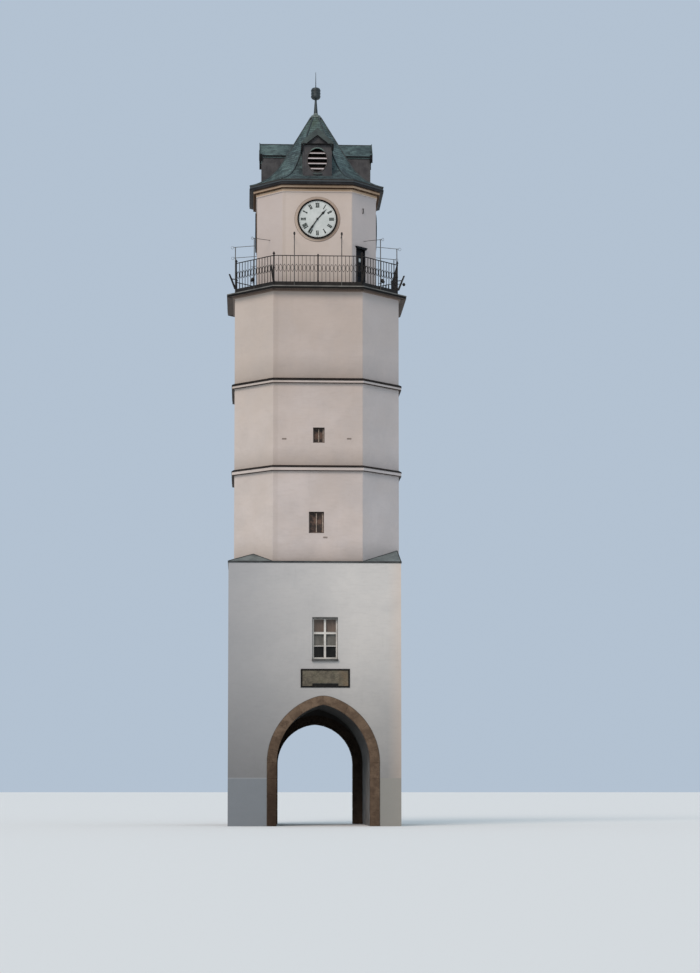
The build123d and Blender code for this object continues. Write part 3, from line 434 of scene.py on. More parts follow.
def boards(along, out, up):
    """Straight boards, each between two values along a side, outwards and upwards."""
    spans = [np.atleast_2d(np.asarray(span, float)) for span in (along, out, up)]
    along, out, up = np.broadcast_arrays(*spans)
    section = [(0, 0), (1, 0), (1, 1), (0, 1)]
    rows = [
        np.stack([np.stack([along[:, end], out[:, o], up[:, z]], -1) for o, z in section], 1)
        for end in (0, 1)
    ]
    return np.stack(rows, 1)


frame_paint = Finish("frame_paint", 0.5).tones(0.5, (208, 205, 200), (186, 183, 178))
flakes = frame_paint.mottle(0.03, low=0.62, high=0.72)
frame_paint.coat((128, 118, 104), 0.5, flakes, ("Z", 9.0, 6.9))
frame_paint.grain(0.02, 0.001, stretch=(1, 1, 12))
dress(frame_paint, "gate_window_frames")
sill_stone = Finish("sill_stone", 0.8).tones(0.2, (84, 85, 84), (58, 58, 57)).grain(0.03, 0.003)
dress(sill_stone, "gate_window_sills")

sash_profile = [(0, sash_back), (0, sash_face), (sash_bar - 0.006, sash_face)]
sash_profile += [(sash_bar, sash_face - 0.008), (sash_bar, sash_back)]
seal_back, seal_face = frame_face - 0.02, frame_face + 0.012
seal_profile = [(-0.002, seal_back), (-0.002, seal_face), (0.018, seal_face), (0.018, seal_back)]
seals, sash_frames, bars = [], [], []
for turn, middle in window_middles.items():
    left, right = middle - window_half, middle + window_half
    seal = frame_round(left, right, window_sill, window_top, seal_profile)
    # The dark board across the head of the opening is painted shadow under the head.
    shadow_head_out, shadow_head_up = (frame_face, gate_wall + 0.012), (window_top - 0.052, window_top - 0.006)
    head = boards((left + 0.001, right - 0.001), shadow_head_out, shadow_head_up)
    seals += lofts_at([turn], [seal], ring_rows=True) + lofts_at([turn], [head])
    for light in ((left + frame_bar, middle - frame_bar / 2), (middle + frame_bar / 2, right - frame_bar)):
        for bottom, top in (
            (window_sill + frame_bar, transom - frame_bar / 2),
            (transom + frame_bar / 2, window_top - frame_bar),
        ):
            sash_frames.append((turn, frame_round(*light, bottom, top, sash_profile)))
        bars.append((turn, boards(light, (sash_back, frame_face + 0.004), glazing_bar)))
build("window_shadow_head_and_seals", sill_stone, "sill_stone", *seals)
sashes = [loft(turned_to(part, turn), ring_rows=True) for turn, part in sash_frames]
sashes += [loft(turned_to(part, turn)) for turn, part in bars]
build("window_sashes", frame_paint, "frame_paint", *sashes)


# Window glass.
# Thin drawn sheets behind the frames. Over the passage a painted reflection of the rose-coloured
# fronts across the street fills the upper lights, grey fills the middle ones, and the lowest are
# painted dark as the shade of the room behind.
glass = Finish("window_glass", 0.06, gloss=0.15)
ripple = glass.mottle(0.25, stretch=(1, 1, 3))
# Painted shade of the room behind, under a painted reflection in the upper lights.
glass.paint(glass.mixed(ripple, (26, 26, 25), (38, 37, 35)))
glass.coat(glass.mixed(ripple, (108, 106, 101), (78, 77, 73)), 1.0, ("Z", 7.46, 7.48))
glass.coat(glass.mixed(ripple, (114, 101, 92), (98, 87, 80)), 1.0, ("Z", 7.98, 8.0))
small_dark = glass.mixed(glass.mottle(0.3, low=0.45, high=0.6), (62, 55, 51), (104, 84, 74))
glass.coat(small_dark, 1.0, ("Z", 9.9, 10.0)).grain(0.5, 0.002, detail=1.0)
dress(glass, "window_panes")


# Plaque under the window.
# A panel of weathered bronze, let into the plaster with a dark border, a small bead inside it
# and a plain strip along its foot. Its face is left bare.
plaque_face = -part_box("plaque_panel")[0].y
border_low, border_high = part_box("plaque_border_frame")
border_bar = 0.05
bead_width = 0.02
bronze = Finish("plaque_bronze", 0.55, 0.25).tones(0.16, (104, 97, 82), (76, 70, 58), detail=6.0)
bronze.coat((86, 84, 64), 0.5, bronze.mottle(0.4, detail=5.0, low=0.5, high=0.7))
bronze.coat((124, 104, 78), 0.6, ("X", 0.75, 1.25), bronze.mottle(0.3, low=0.3, high=0.6))
bronze.coat((62, 63, 58), 1.0, bronze.between("X", -0.225, 0.855, 0.004), ("Z", 5.936, 5.932))
dress(bronze.grain(0.07, 0.012, detail=6.0), "plaque_panel")
border_bronze = Finish("border_bronze", 0.5, gloss=0.15).tones(0.1, (26, 25, 22), (16, 15, 14))
dress(border_bronze.grain(0.02, 0.002), "plaque_border_frame")
bead_profile = [
    (border_bar - 0.004, plaque_face - 0.002),
    (border_bar - 0.004, plaque_face + 0.010),
    (border_bar + bead_width * 0.3, plaque_face + 0.018),
    (border_bar + bead_width, plaque_face + 0.010),
    (border_bar + bead_width, plaque_face - 0.002),
]
bead = frame_round(border_low.x, border_high.x, border_low.z, border_high.z, bead_profile)
build("plaque_bead", border_bronze, "plaque_bronze", *lofts_at([0], [bead], ring_rows=True))


# Flashing and corner skirts.
# Sheet lead caps the gatehouse with a rolled edge. On its corners lie small roofs of pale
# grey sheet metal, with a lead roll up each hip and where they meet the shaft.
ledge_low, ledge_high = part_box("ledge_flashing")
shaft_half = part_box("middle_shaft_face_walls")[1].y
shaft_face = 1.877
roll_radius = 0.02
edge_inset = 0.012
skirt_peaks = {-1: (0.5, 0.38), 1: (0.95, 0.62)}
lead = Finish("flashing_lead", 0.6, 0.3).tones(0.4, (66, 70, 70), (44, 46, 46), detail=5.0)
dress(lead.grain(0.2, 0.004), "ledge_flashing")
skirt_sheet = Finish("skirt_sheet", 0.55, 0.2).tones(0.5, (116, 124, 124), (88, 96, 96), detail=5.0)
rain = skirt_sheet.mottle(0.12, stretch=(1, 1, 7), low=0.55, high=0.75)
dress(skirt_sheet.coat((64, 70, 70), 0.3, rain).grain(0.05, 0.002), "corner_skirt_roofs")


def circles(line, radius, sides):
    """Circles square to some lines: cosine times a level vector plus sine times the vector
    square to both, with the level one square to the vertical, or to x for a steep line."""
    line = line / np.linalg.norm(line, axis=1, keepdims=True)
    steep = np.abs(line[:, 2:]) > 0.9
    level = np.cross(line, np.where(steep, [[1.0, 0, 0]], [[0, 0, 1.0]]))
    level /= np.linalg.norm(level, axis=1, keepdims=True)
    angle = np.linspace(0, 2 * pi, sides, endpoint=False)[None, :, None]
    return radius * (np.cos(angle) * level[:, None] + np.sin(angle) * np.cross(line, level)[:, None])


def rods(starts, ends, radius, sides=6):
    """Round bars between pairs of points."""
    starts, ends = np.atleast_2d(starts).astype(float), np.atleast_2d(ends).astype(float)
    circle = circles(ends - starts, radius, sides)
    return np.stack([starts[:, None] + circle, ends[:, None] + circle], axis=1)


hip_feet, hip_tops = [], []
for side, (peak_part, peak_rise) in skirt_peaks.items():
    for end in (-1, 1):
        corner = np.array([gate_low.x if side < 0 else gate_high.x, end * gate_high.y, ledge_high.z])
        near = np.array([side * shaft_face, end * shaft_half, ledge_high.z])
        far = np.array([side * shaft_half, end * shaft_face, ledge_high.z])
        peak = near + peak_part * (far - near) + [0, 0, peak_rise]
        hip_feet += [corner, near, far]
        hip_tops += [peak, peak, peak]
x_ends, y_ends = (ledge_low.x, ledge_high.x), (ledge_low.y, ledge_high.y)
ledge_corners = ((0, 0), (1, 0), (1, 1), (0, 1))
edge_line = np.array([(x_ends[i], y_ends[j], ledge_high.z - edge_inset) for i, j in ledge_corners])
edge_line -= np.sign(edge_line) * [edge_inset, edge_inset, 0]
hip_rods = rods(hip_feet, hip_tops, roll_radius, sides=8)
edge_rods = rods(edge_line, np.roll(edge_line, -1, 0), roll_radius, sides=8)
build("flashing_rolls", lead, "flashing_lead", loft(hip_rods), loft(edge_rods))


# Shaft walls.
# Three storeys of plastered masonry between the string courses, warm cream, with faint dirt
# over each course, a faint darker strip near the left arrises, painted light and shade on the cut
# corners and at the foot of the drum, and three small slotted vent covers in the front.
shaft_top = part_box("upper_shaft_face_walls")[1].z
string_boxes = [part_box("lower_string_course"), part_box("upper_string_course")]
drum_corner = 1.487
vent_places = [(-1.413, 16.187), (1.314, 16.206), (0.314, 12.041)]
vent_half = 0.09
vent_slat = 0.011
shaft_lime = plaster("shaft_plaster", (199, 189, 186), (186, 177, 174), (152, 141, 134), depth=0.012)
shaft_lime.coat((166, 152, 142), 0.5, ("Z", 12.0, 21.0))
ledges = [ledge_high.z] + [high.z for low, high in string_boxes]
for ledge, reach in zip(ledges, (0.9, 0.8, 1.1)):
    shaft_lime.coat((112, 99, 88), 0.45, ("Z", ledge + reach, ledge), ("Z", ledge - 0.01, ledge))
below_gallery = shaft_lime.rise("Z", shaft_top + 0.05, shaft_top)
above_gallery = shaft_lime.rise("Z", shaft_top, shaft_top + 0.05)
drum_storey = ("Z", shaft_top, shaft_top + 0.1)
shaft_lime.coat((128, 114, 102), 0.2, shaft_lime.between("Z", shaft_top, shaft_top + 0.02, 0.35))
shaft_lime.coat((214, 200, 190), 0.3, drum_storey)
# Painted light: the foot of the drum is lightened against the shade of the slab and the railing.
shaft_lime.coat((212, 200, 192), 0.4, ("Z", 25.4, 23.6), drum_storey)
shaft_lime.coat((190, 172, 158), 0.2, shaft_lime.mottle(1.4))
# Painted light and shade: each cut corner of the shaft and the drum is tinted as the light falls, the right
# ones cool and dark.
for storeys, corner, strength, tone in (
    (below_gallery, shaft_face, 0.35, (180, 182, 190)),
    (below_gallery, -shaft_face, 0.2, (212, 202, 190)),
    (above_gallery, drum_corner, 0.5, (170, 169, 177)),
    (above_gallery, -drum_corner, 0.3, (176, 168, 170)),
):
    shaft_lime.coat(tone, strength, storeys, ("X", corner, corner * 1.01))
for storeys, left, right in ((below_gallery, -1.84, -1.70), (above_gallery, -1.47, -1.38)):
    shaft_lime.coat((152, 140, 130), 0.16, storeys, shaft_lime.between("X", left, right, 0.05))
storey_walls = [f"{storey}_shaft" for storey in ("lower", "middle", "upper")] + ["drum"]
dress(shaft_lime, *[f"{storey}_{kind}_walls" for storey in storey_walls for kind in ("face", "corner")])
dress(shaft_lime, "lower_string_course", "upper_string_course")

floor_timber = Finish("floor_timber", 0.75)
plank = floor_timber.mottle(0.1, stretch=(1, 30, 1))
floor_timber.paint(floor_timber.mixed(plank, (150, 122, 92), (112, 88, 64))).relief(plank, 0.003)
dress(floor_timber, "gate_room_floor", "lower_shaft_floor", "upper_shaft_floors")

vent_paint = Finish("vent_paint", 0.8).tones(0.05, (138, 122, 112), (108, 94, 86)).grain(0.03, 0.001)
vents = []
for along, up in vent_places:
    slats = up + np.array([-2, 0, 2])[:, None] * vent_slat + np.array([-0.5, 0.5]) * vent_slat
    out = (shaft_half - 0.002, shaft_half + 0.01)
    vents.append(boards((along - vent_half, along + vent_half), out, slats))
build("vent_covers", vent_paint, "shaft_plaster", *lofts_at([0], vents))


# String courses.
# Each course is a plastered stone band. A dark sheet-metal cap covers its slope and turns
# down over its edge, and a narrow dark strip under it is painted shadow of the band.
string_out = 0.105
cap_edges = ((0.065, 0.100), (0.050, 0.118))
cap_proud = 0.014
band_shadow_top = 0.018
quarters = (0, 90, 180, 270)


def eight_sided(profile, half, face):
    """A moulding: a profile of (out, up) points carried round a square with cut corners,
    whose broad sides grow by out times (sqrt 2 - 1) at each end."""
    out, up = np.array(profile, float).T
    reach = face + out * (sqrt(2) - 1)
    rows = [
        turned_to(np.stack([sign * reach, half + out, up], -1), quarter)
        for quarter in quarters
        for sign in (-1, 1)
    ]
    return loft(np.stack(rows)[None], ring_rows=True)


dark_metal = Finish("dark_cap_metal", 0.6, gloss=0.15).tones(0.5, (33, 26, 22), (20, 16, 14), detail=5.0)
dark_metal.grain(0.1, 0.002)
band_shadow_paint = Finish("band_shadow_paint", 0.8).tones(0.4, (60, 49, 43), (40, 33, 29)).grain(0.05, 0.002)
caps, band_shadows = [], []
for (low, high), (cap_edge, cap_drop) in zip(string_boxes, cap_edges):
    cap_profile = [
        (0.03, high.z - 0.002),
        (string_out + cap_proud, high.z - cap_edge),
        (string_out + cap_proud + 0.004, high.z - cap_drop),
        (string_out - 0.004, high.z - cap_drop),
        (string_out - 0.004, high.z - cap_edge - 0.02),
        (0.03, high.z - 0.04),
    ]
    # The dark strip under the band is painted shadow of the band.
    band_shadow_profile = [
        (-0.01, low.z + 0.002),
        (string_out - 0.004, low.z + band_shadow_top),
        (string_out + 0.006, low.z + band_shadow_top),
        (string_out + 0.006, low.z - 0.003),
        (-0.01, low.z - 0.006),
    ]
    caps.append(eight_sided(cap_profile, shaft_half, shaft_face))
    band_shadows.append(eight_sided(band_shadow_profile, shaft_half, shaft_face))
build("string_caps", dark_metal, "flashing_lead", *caps)
build("string_band_shadows", band_shadow_paint, "string_stone", *band_shadows)


# Small windows of the shaft.
# One above the other on each broad side: a dark brown timber frame, a pale central stile and
# a pale strip at the right, one pane each side, and a dark lintel line over the opening.
small_windows = ((-0.057, 12.22, 0.635, 0.90), (0.040, 16.03, 0.485, 0.645))
small_face = shaft_half - 0.13
small_bar = 0.045
stile_half = 0.016
grooves = dict(stretch=(1, 1, 10))
small_paint = Finish("small_window_paint", 0.6).tones(0.15, (112, 98, 90), (84, 72, 66))
dress(small_paint.grain(0.02, 0.001, **grooves), "small_window_frames")
stile_paint = Finish("stile_paint", 0.6).tones(0.1, (168, 154, 142), (132, 118, 106))
stile_paint.grain(0.02, 0.001, **grooves)
stiles, lintels = [], []
for turn in quarters:
    for middle, sill, width, height in small_windows:
        up = (sill + small_bar, sill + height - small_bar)
        for place in (middle, middle + width / 2 - small_bar - stile_half):
            along = (place - stile_half, place + stile_half)
            stiles += lofts_at([turn], [boards(along, (small_face - 0.05, small_face + 0.008), up)])
        along = (middle - width / 2 + 0.002, middle + width / 2 - 0.002)
        head = (sill + height - 0.03, sill + height - 0.002)
        lintels += lofts_at([turn], [boards(along, (small_face, shaft_half - 0.02), head)])
build("small_window_stiles", stile_paint, "frame_paint", *stiles)
build("small_window_lintels", dark_metal, "sill_stone", *lintels)


# Gallery floor.
# A timber cornice carries a slab whose edge is clad with a light zinc strip over a dark one.
# Narrow brown boards close the soffit between the cornice and the edge.
slab_low, slab_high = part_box("gallery_slab")
cornice_low, cornice_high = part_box("gallery_cornice")
slab_half = slab_high.y
slab_face = 1.915
strip_foot = slab_high.z - 0.048
strip_proud = 0.012
soffit_board = 0.11
soffit_drop = 0.016

soffit_paint = Finish("soffit_timber", 0.7)
soffit_paint.paint(soffit_paint.mixed(soffit_paint.tone(), (70, 54, 44), (46, 36, 30)))
soffit_paint.coat((46, 38, 33), 0.4, soffit_paint.mottle(0.3))
soffit_paint.coat((128, 111, 99), 0.75, ("Z", cornice_low.z + 0.07, cornice_low.z))
dress(soffit_paint.grain(0.03, 0.002), "gallery_cornice")
slab_edge = Finish("slab_edge", 0.6, gloss=0.15).tones(0.3, (22, 19, 17), (13, 12, 11))
screed = slab_edge.mixed(slab_edge.mottle(0.6, detail=5.0), (112, 108, 103), (84, 81, 78))
slab_edge.coat(screed, 1.0, ("Z", slab_high.z - 0.003, slab_high.z - 0.001))
dress(slab_edge.grain(0.1, 0.002), "gallery_slab")
zinc = Finish("zinc_strip", 0.5, 0.3).tones(0.5, (118, 116, 111), (92, 91, 88), detail=5.0)
zinc.grain(0.12, 0.002)
zinc_profile = [(-0.006, slab_high.z - 0.002), (strip_proud, slab_high.z - 0.006)]
zinc_profile += [(strip_proud, strip_foot), (-0.006, strip_foot)]
build("slab_zinc_strip", zinc, "slab_edge", eight_sided(zinc_profile, slab_half, slab_face))


def eight_turns(half, face):
    """Turn, distance and half length of the broad and the cut sides of such a square, by
    turns. The cut ones are (half + face) / sqrt 2 away and (half - face) / sqrt 2 long."""
    cut = ((half + face) / sqrt(2), (half - face) / sqrt(2))
    return [(turn, *(cut if turn % 90 else (half, face))) for turn in range(0, 360, 45)]


soffit = []
for turn, distance, reach in eight_turns(slab_half, slab_face):
    count = int(2 * reach / soffit_board)
    starts = np.linspace(-reach, reach, count + 1)[:-1]
    along = np.stack([starts + 0.006, starts + 2 * reach / count - 0.006], -1)
    out = (distance - slab_half + cornice_high.y - 0.02, distance - 0.012)
    up = (slab_low.z - soffit_drop, slab_low.z + 0.001)
    soffit += lofts_at([turn], [boards(along, out, up)])
build("gallery_soffit_boards", soffit_paint, "cornice_timber", *soffit)


# Railing of the gallery.
# Black wrought iron on a low kerb: square bars set into the kerb and riveted to a handrail,
# with an oval ring forged into each gap at mid height and a small knob above and below it.
kerb_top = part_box("railing_front")[0].z + 0.234
handrail_top = kerb_top + 1.125
railing_half = slab_half - 0.385
railing_face = slab_face - 0.055
post_gap = 0.0303
bar_spacing = 0.165
bar_size = 0.02
ring_centre = 23.467
ring_half_height = 0.15
ring_wire = 0.0115
knob_radius = 0.02


def iron(name, dark, light):
    """Wrought iron under old paint: two tones, and rust in small spots."""
    worn = Finish(name, roughness=0.5, gloss=0.2).tones(0.2, light, dark)
    worn.coat((82, 56, 42), 0.4, worn.mottle(0.05, low=0.64, high=0.72))
    return worn.grain(0.03, 0.001)


def turned(profile, sides=12):
    """A turned shape about the vertical: a profile of (radius, height) points, as rows."""
    radius, up = np.array(profile, float).T[:, :, None]
    angle = np.linspace(0, 2 * pi, sides, endpoint=False)
    return np.stack([radius * np.cos(angle), radius * np.sin(angle), up + 0 * angle], axis=-1)[None]


def oval_rings(centres, half_width, half_height, wire, around=14, sides=4):
    """Upright oval rings: a wire section carried round an ellipse, square to the ellipse."""
    turn = np.linspace(0, 2 * pi, around, endpoint=False)[:, None]
    section = np.linspace(0, 2 * pi, sides, endpoint=False)[None] + pi / sides
    reach = wire * np.cos(section)
    along = (half_width + reach) * np.cos(turn)
    up = (half_height + reach) * np.sin(turn)
    out = wire * np.sin(section) + 0 * turn
    return np.asarray(centres)[:, None, None] + np.stack([along, out, up], -1)[None]


post_iron = iron("post_iron", (26, 24, 24), (38, 35, 34))
dress(post_iron, "railing_posts", "corner_brackets")
railing_iron = iron("railing_iron", (28, 26, 25), (42, 38, 36))
under_rail = ("Z", handrail_top - 0.04, handrail_top - 0.05)
railing_iron.coat((42, 36, 33), 0.85, ("Z", kerb_top, kerb_top + 0.01), under_rail)
broad_sides = [f"railing_{side}" for side in ("front", "right", "rear", "left")]
cut_sides = [f"railing_{end}_{side}" for end in ("front", "rear") for side in ("right", "left")]
dress(railing_iron, *broad_sides, *cut_sides)

knob_steps = [(0.004, -1.0), (0.75, -0.5), (1.0, 0.0), (0.75, 0.5), (0.004, 1.0)]
knob = turned(np.array(knob_steps) * knob_radius, sides=6)
ornaments = []
for turn, distance, reach in eight_turns(railing_half, railing_face):
    clear = reach - post_gap
    bays = round(2 * clear / bar_spacing)
    pitch = 2 * clear / bays
    gaps = -clear + pitch * (np.arange(bays) + 0.5)
    centres = np.stack([gaps, gaps * 0 + distance, gaps * 0 + ring_centre], -1)
    ring_half_width = (pitch - bar_size) / 2 - ring_wire
    rings = oval_rings(centres, ring_half_width, ring_half_height - ring_wire, ring_wire)
    ornaments += lofts_at([turn], [rings], ring_rows=True)
    knobs = [knob + (centres + [0, 0, sign * ring_half_height])[:, None, None] for sign in (-1, 1)]
    ornaments += lofts_at([turn], knobs)
build("railing_rings", post_iron, "railing_iron", *ornaments, soften=60)


# Eight-sided posts' collars and ball tops.
# Cast collars are shrunk on where the rails meet the posts, and a small ball tops each cap.
post_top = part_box("railing_posts")[1].z
collar_profile = [(0.028, -0.028), (0.042, -0.014), (0.042, 0.014), (0.028, 0.028)]
ball_profile = [(0.012, -0.004), (0.016, 0.004), (0.03, 0.018), (0.034, 0.036), (0.026, 0.054)]
ball_profile += [(0.004, 0.064)]
collar, ball = turned(collar_profile, sides=10), turned(ball_profile, sides=10)
post_spots = np.array([(along, railing_half, 0) for along in (-railing_face, railing_face, 0.0)])
collar_levels = (kerb_top + 0.03, ring_centre, handrail_top - 0.013)
collars = [collar + (post_spots + [0, 0, level])[:, None, None] for level in collar_levels]
balls = ball + (post_spots[:2] + [0, 0, post_top])[:, None, None]
post_trim = lofts_at(quarters, [*collars, balls])
build("railing_post_trim", post_iron, "railing_iron", *post_trim, soften=50)


# Poles and lamps of the gallery.
# Galvanised tubes clamped to the railing, each with a stay to the drum and a wire ring at its
# outer end. Knobs top the front and rear ones, and a can or a globe lamp hangs at the corners.
pole_out = 0.044
pole_offset = 1.0
stay_end = 0.09
stay_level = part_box("lamp_poles")[1].z - 0.09
ring_radius = 0.06
ring_rod = 0.007
arm_radius = 0.011
globe_arm_radius = 0.012
can_tilt = radians(-50)
lamp_level = 23.08
globe_place = np.array([3.735, -1.9, 23.134])
pole_zinc = Finish("pole_zinc", 0.5, 0.3).tones(0.3, (90, 88, 85), (64, 62, 60)).grain(0.05, 0.001)
dress(pole_zinc, "lamp_poles")

pole_spots = [(turn, side * pole_offset) for turn in quarters for side in (-1, 1)]
pole_spots += [(turn, 0.0) for turn in (45, 135, 225, 315)]
can_profile = [(0.012, -0.10), (0.05, -0.09), (0.066, -0.05), (0.07, 0.04), (0.082, 0.05)]
can_profile += [(0.082, 0.075), (0.07, 0.07), (0.012, 0.055)]
x, y, z = np.moveaxis(turned(can_profile), -1, 0)
swung = [y * np.cos(can_tilt) + z * np.sin(can_tilt), z * np.cos(can_tilt) - y * np.sin(can_tilt)]
can = np.stack([x, *swung], -1) + [0, 0.12, lamp_level]
arm_level = lamp_level - 0.1
arms = rods(
    [(0, -0.01, arm_level), (-0.18, 0.03, arm_level), (0, 0.03, arm_level)],
    [(0, 0.04, arm_level), (0.01, 0.03, arm_level), (0, 0.12, lamp_level - 0.02)],
    arm_radius,
)
knob_profile = [(0.004, -0.14), (0.03, -0.12), (0.044, -0.07), (0.038, -0.01), (0.022, 0.01)]
pole_knob = turned(knob_profile + [(0.004, 0.02)], sides=8) + [0, 0, stay_level + 0.09]
wire_ring = oval_rings([(0, 0, 0)], ring_radius, ring_radius, ring_rod, around=16)[..., [1, 0, 2]]
wire_ring = wire_ring + [0, stay_end + ring_radius * 0.6, stay_level - 0.02]
pole_distances = {turn: distance for turn, distance, _ in eight_turns(railing_half, railing_face)}
stay_rings, lamps = [], []
for turn, along in pole_spots:
    spot = [along, pole_distances[turn] + pole_out, 0]
    stay_rings += lofts_at([turn], [wire_ring + spot], ring_rows=True)
    hung = [pole_knob] if turn in (0, 180) else [can, arms] if turn % 90 else []
    lamps += lofts_at([turn], [part + spot for part in hung])
build("pole_rings", pole_zinc, "railing_iron", *stay_rings, soften=60)
globe_profile = [(0.004, -0.066), (0.034, -0.057), (0.057, -0.033), (0.066, 0.0), (0.057, 0.033)]
globe_profile += [(0.034, 0.057), (0.03, 0.075), (0.004, 0.08)]
lamps.append(loft(turned(globe_profile, sides=14) + globe_place))
globe_arm_foot = (railing_half + 0.01, -railing_face, 23.16)
lamps.append(loft(rods(globe_arm_foot, globe_place + [-0.02, 0, 0.03], globe_arm_radius)))
build("gallery_lamps", post_iron, "railing_iron", *lamps, soften=50)


# Clock surround, rim, dial and marks.
# An enamelled iron dial in a dark cast rim, inside a flat ring of ochre plaster with painted shade
# at its lower right and a thin dark ring of painted shadow round it. Roman hour numbers and the
# minute dots are fixed on the enamel. The hands are black painted iron.
clock_centre = 25.775
drum_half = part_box("drum_face_walls")[1].y
dial_face = drum_half + 0.04
mark_thickness = 0.004
number_foot = 0.50
number_height = 0.20
minute_ring = 0.748
stroke_thick = 0.036
stroke_thin = 0.022
serif_width = 0.012
small_dot, large_dot = 0.009, 0.016
shadow_ring_wire = 0.011
eave_low, eave_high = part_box("eave_cornice")

ochre = plaster("ochre_plaster", (190, 165, 142), (172, 146, 122), (128, 104, 84), depth=0.006)
ochre.coat((80, 60, 44), 1.0, ochre.between("Z", 27.077, 27.113, 0.004))
ochre.coat((96, 74, 60), 1.0, ("Z", eave_high.z - 0.045, eave_high.z - 0.03))
ochre.coat((200, 188, 180), 1.0, ("Z", eave_low.z + 0.03, eave_low.z + 0.02))
dress(ochre, "eave_cornice")
ring_lime = plaster("ring_plaster", (180, 164, 151), (166, 148, 135), (138, 120, 106), depth=0.006)
# Painted shade: the ring darkens towards its lower right, away from the light.
shaded_low_half = ("Z", clock_centre + 0.7, clock_centre - 0.8)
dress(ring_lime.coat((126, 104, 90), 0.8, ("X", -0.4, 0.8), shaded_low_half), "clock_surrounds")
rim_iron = Finish("rim_iron", 0.5, gloss=0.1).tones(0.2, (26, 21, 17), (14, 12, 10))
dress(rim_iron.grain(0.04, 0.001), "clock_rims")
enamel = Finish("dial_enamel", 0.35).tones(0.7, (202, 206, 204), (186, 191, 189), detail=5.0)
enamel.coat((150, 156, 150), 0.3, enamel.mottle(0.1, stretch=(1, 1, 6), low=0.5, high=0.8))
dress(enamel.grain(0.3, 0.001), "clock_dials")
hand_iron = Finish("hand_iron", 0.45, gloss=0.15).tones(0.1, (46, 48, 46), (34, 36, 35))
dress(hand_iron.grain(0.03, 0.0005), "minute_hand", "hour_hand", "fixed_clock_hands")
number_paint = Finish("number_paint", 0.5, gloss=0.1).tones(0.1, (54, 63, 59), (38, 45, 42))
number_paint.grain(0.02, 0.0005)

letter_strokes = {
    "I": (0.046, [(0, 0, 0, 1, stroke_thick)]),
    "V": (0.076, [(-0.02, 1, 0, 0, stroke_thick), (0.02, 1, 0, 0, stroke_thin)]),
    "X": (0.076, [(-0.02, 1, 0.02, 0, stroke_thick), (-0.02, 0, 0.02, 1, stroke_thin)]),
}
hour_numbers = ["XII", "I", "II", "III", "IV", "V", "VI", "VII", "VIII", "IX", "X", "XI"]


def on_dial(angle, reach, across=0.0):
    """A point of the dial from its distance from the centre and the distance beside it."""
    x = reach * np.sin(angle) + across * np.cos(angle)
    return [x, clock_centre + reach * np.cos(angle) - across * np.sin(angle)]


def flat_strokes(strokes, bottom, top):
    """Flat raised strokes on a dial: each runs between two points with a width, its four
    corners offset square to its line, from one level to another."""
    x0, z0, x1, z1, width = np.array(strokes, float).T
    run = np.stack([x1 - x0, z1 - z0], -1)
    square = np.stack([-run[:, 1], run[:, 0]], -1) / np.linalg.norm(run, axis=1, keepdims=True)
    square *= width[:, None] / 2
    start, stop = np.stack([x0, z0], -1), np.stack([x1, z1], -1)
    outline = np.stack([start - square, stop - square, stop + square, start + square], 1)
    rows = [np.insert(outline, 1, level, axis=2) for level in (bottom, top)]
    return np.stack(rows, 1)


def hand_plate(length, leaf_half, stem_half, angle, bottom, top):
    """A flat clock hand: an even stem that swells to a leaf at 0.62 of its length and runs to
    a point, turned clockwise from twelve by an angle."""
    half = [(stem_half, 0), (stem_half, 0.41), (leaf_half, 0.62), (stem_half * 0.6, 0.80), (0.003, 1.0)]
    outline = np.array([(-x, z * length) for x, z in half] + [(x, z * length) for x, z in half[::-1]])
    across, up = on_dial(radians(angle), outline[:, 1], outline[:, 0])
    return np.stack([np.stack([across, 0 * across + level, up], -1) for level in (bottom, top)])[None]


dial_strokes = []
for hour, letters in enumerate(hour_numbers):
    angle = radians(30 * hour)
    span = sum(letter_strokes[letter][0] for letter in letters)
    place = -span / 2
    flat = []
    for letter in letters:
        advance, strokes = letter_strokes[letter]
        middle = place + advance / 2
        flat += [(middle + a, b, middle + c, d, width) for a, b, c, d, width in strokes]
        place += advance
    flat += [(-span / 2, level, span / 2, level, serif_width) for level in (0.02, 0.98)]
    for a, b, c, d, width in flat:
        start = on_dial(angle, number_foot + number_height * b, a)
        stop = on_dial(angle, number_foot + number_height * d, c)
        dial_strokes.append((*start, *stop, width))
for minute in range(60):
    dot = small_dot if minute % 5 else large_dot
    start, stop = (on_dial(radians(6 * minute), minute_ring + sign * dot) for sign in (-1, 1))
    dial_strokes.append((*start, *stop, dot))

hand_shapes = {
    "minute_hand": (0.70, 0.046, 0.020, 213.5),
    "hour_hand": (0.585, 0.052, 0.022, 42),
}
for hand, shape in hand_shapes.items():
    level = -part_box(hand)[0].y
    plate = hand_plate(*shape, level - 0.007, level - 0.001)
    for name, turns, body in ((hand, (0,), hand), (f"fixed_{hand}", (90, 180, 270), "tower")):
        build(f"{name}_border", hand_iron, "hand_iron", *lofts_at(turns, [plate]), body=body)
# Painted shadow: a thin dark ring round each surround stands for the shadow it casts on the wall.
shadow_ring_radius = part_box("clock_surrounds")[1].z - clock_centre + 0.004
shadow_ring = oval_rings([(0, drum_half, clock_centre)], shadow_ring_radius, shadow_ring_radius, shadow_ring_wire, around=64)
dark_lines = lofts_at(quarters, [shadow_ring], ring_rows=True)
build("clock_surround_shadow_ring", joint_and_shadow_grey, "ochre_plaster", *dark_lines, soften=60)
strokes = flat_strokes(dial_strokes, dial_face - 0.001, dial_face + mark_thickness)
build("dial_marks", number_paint, "hand_iron", *lofts_at(quarters, [strokes]))


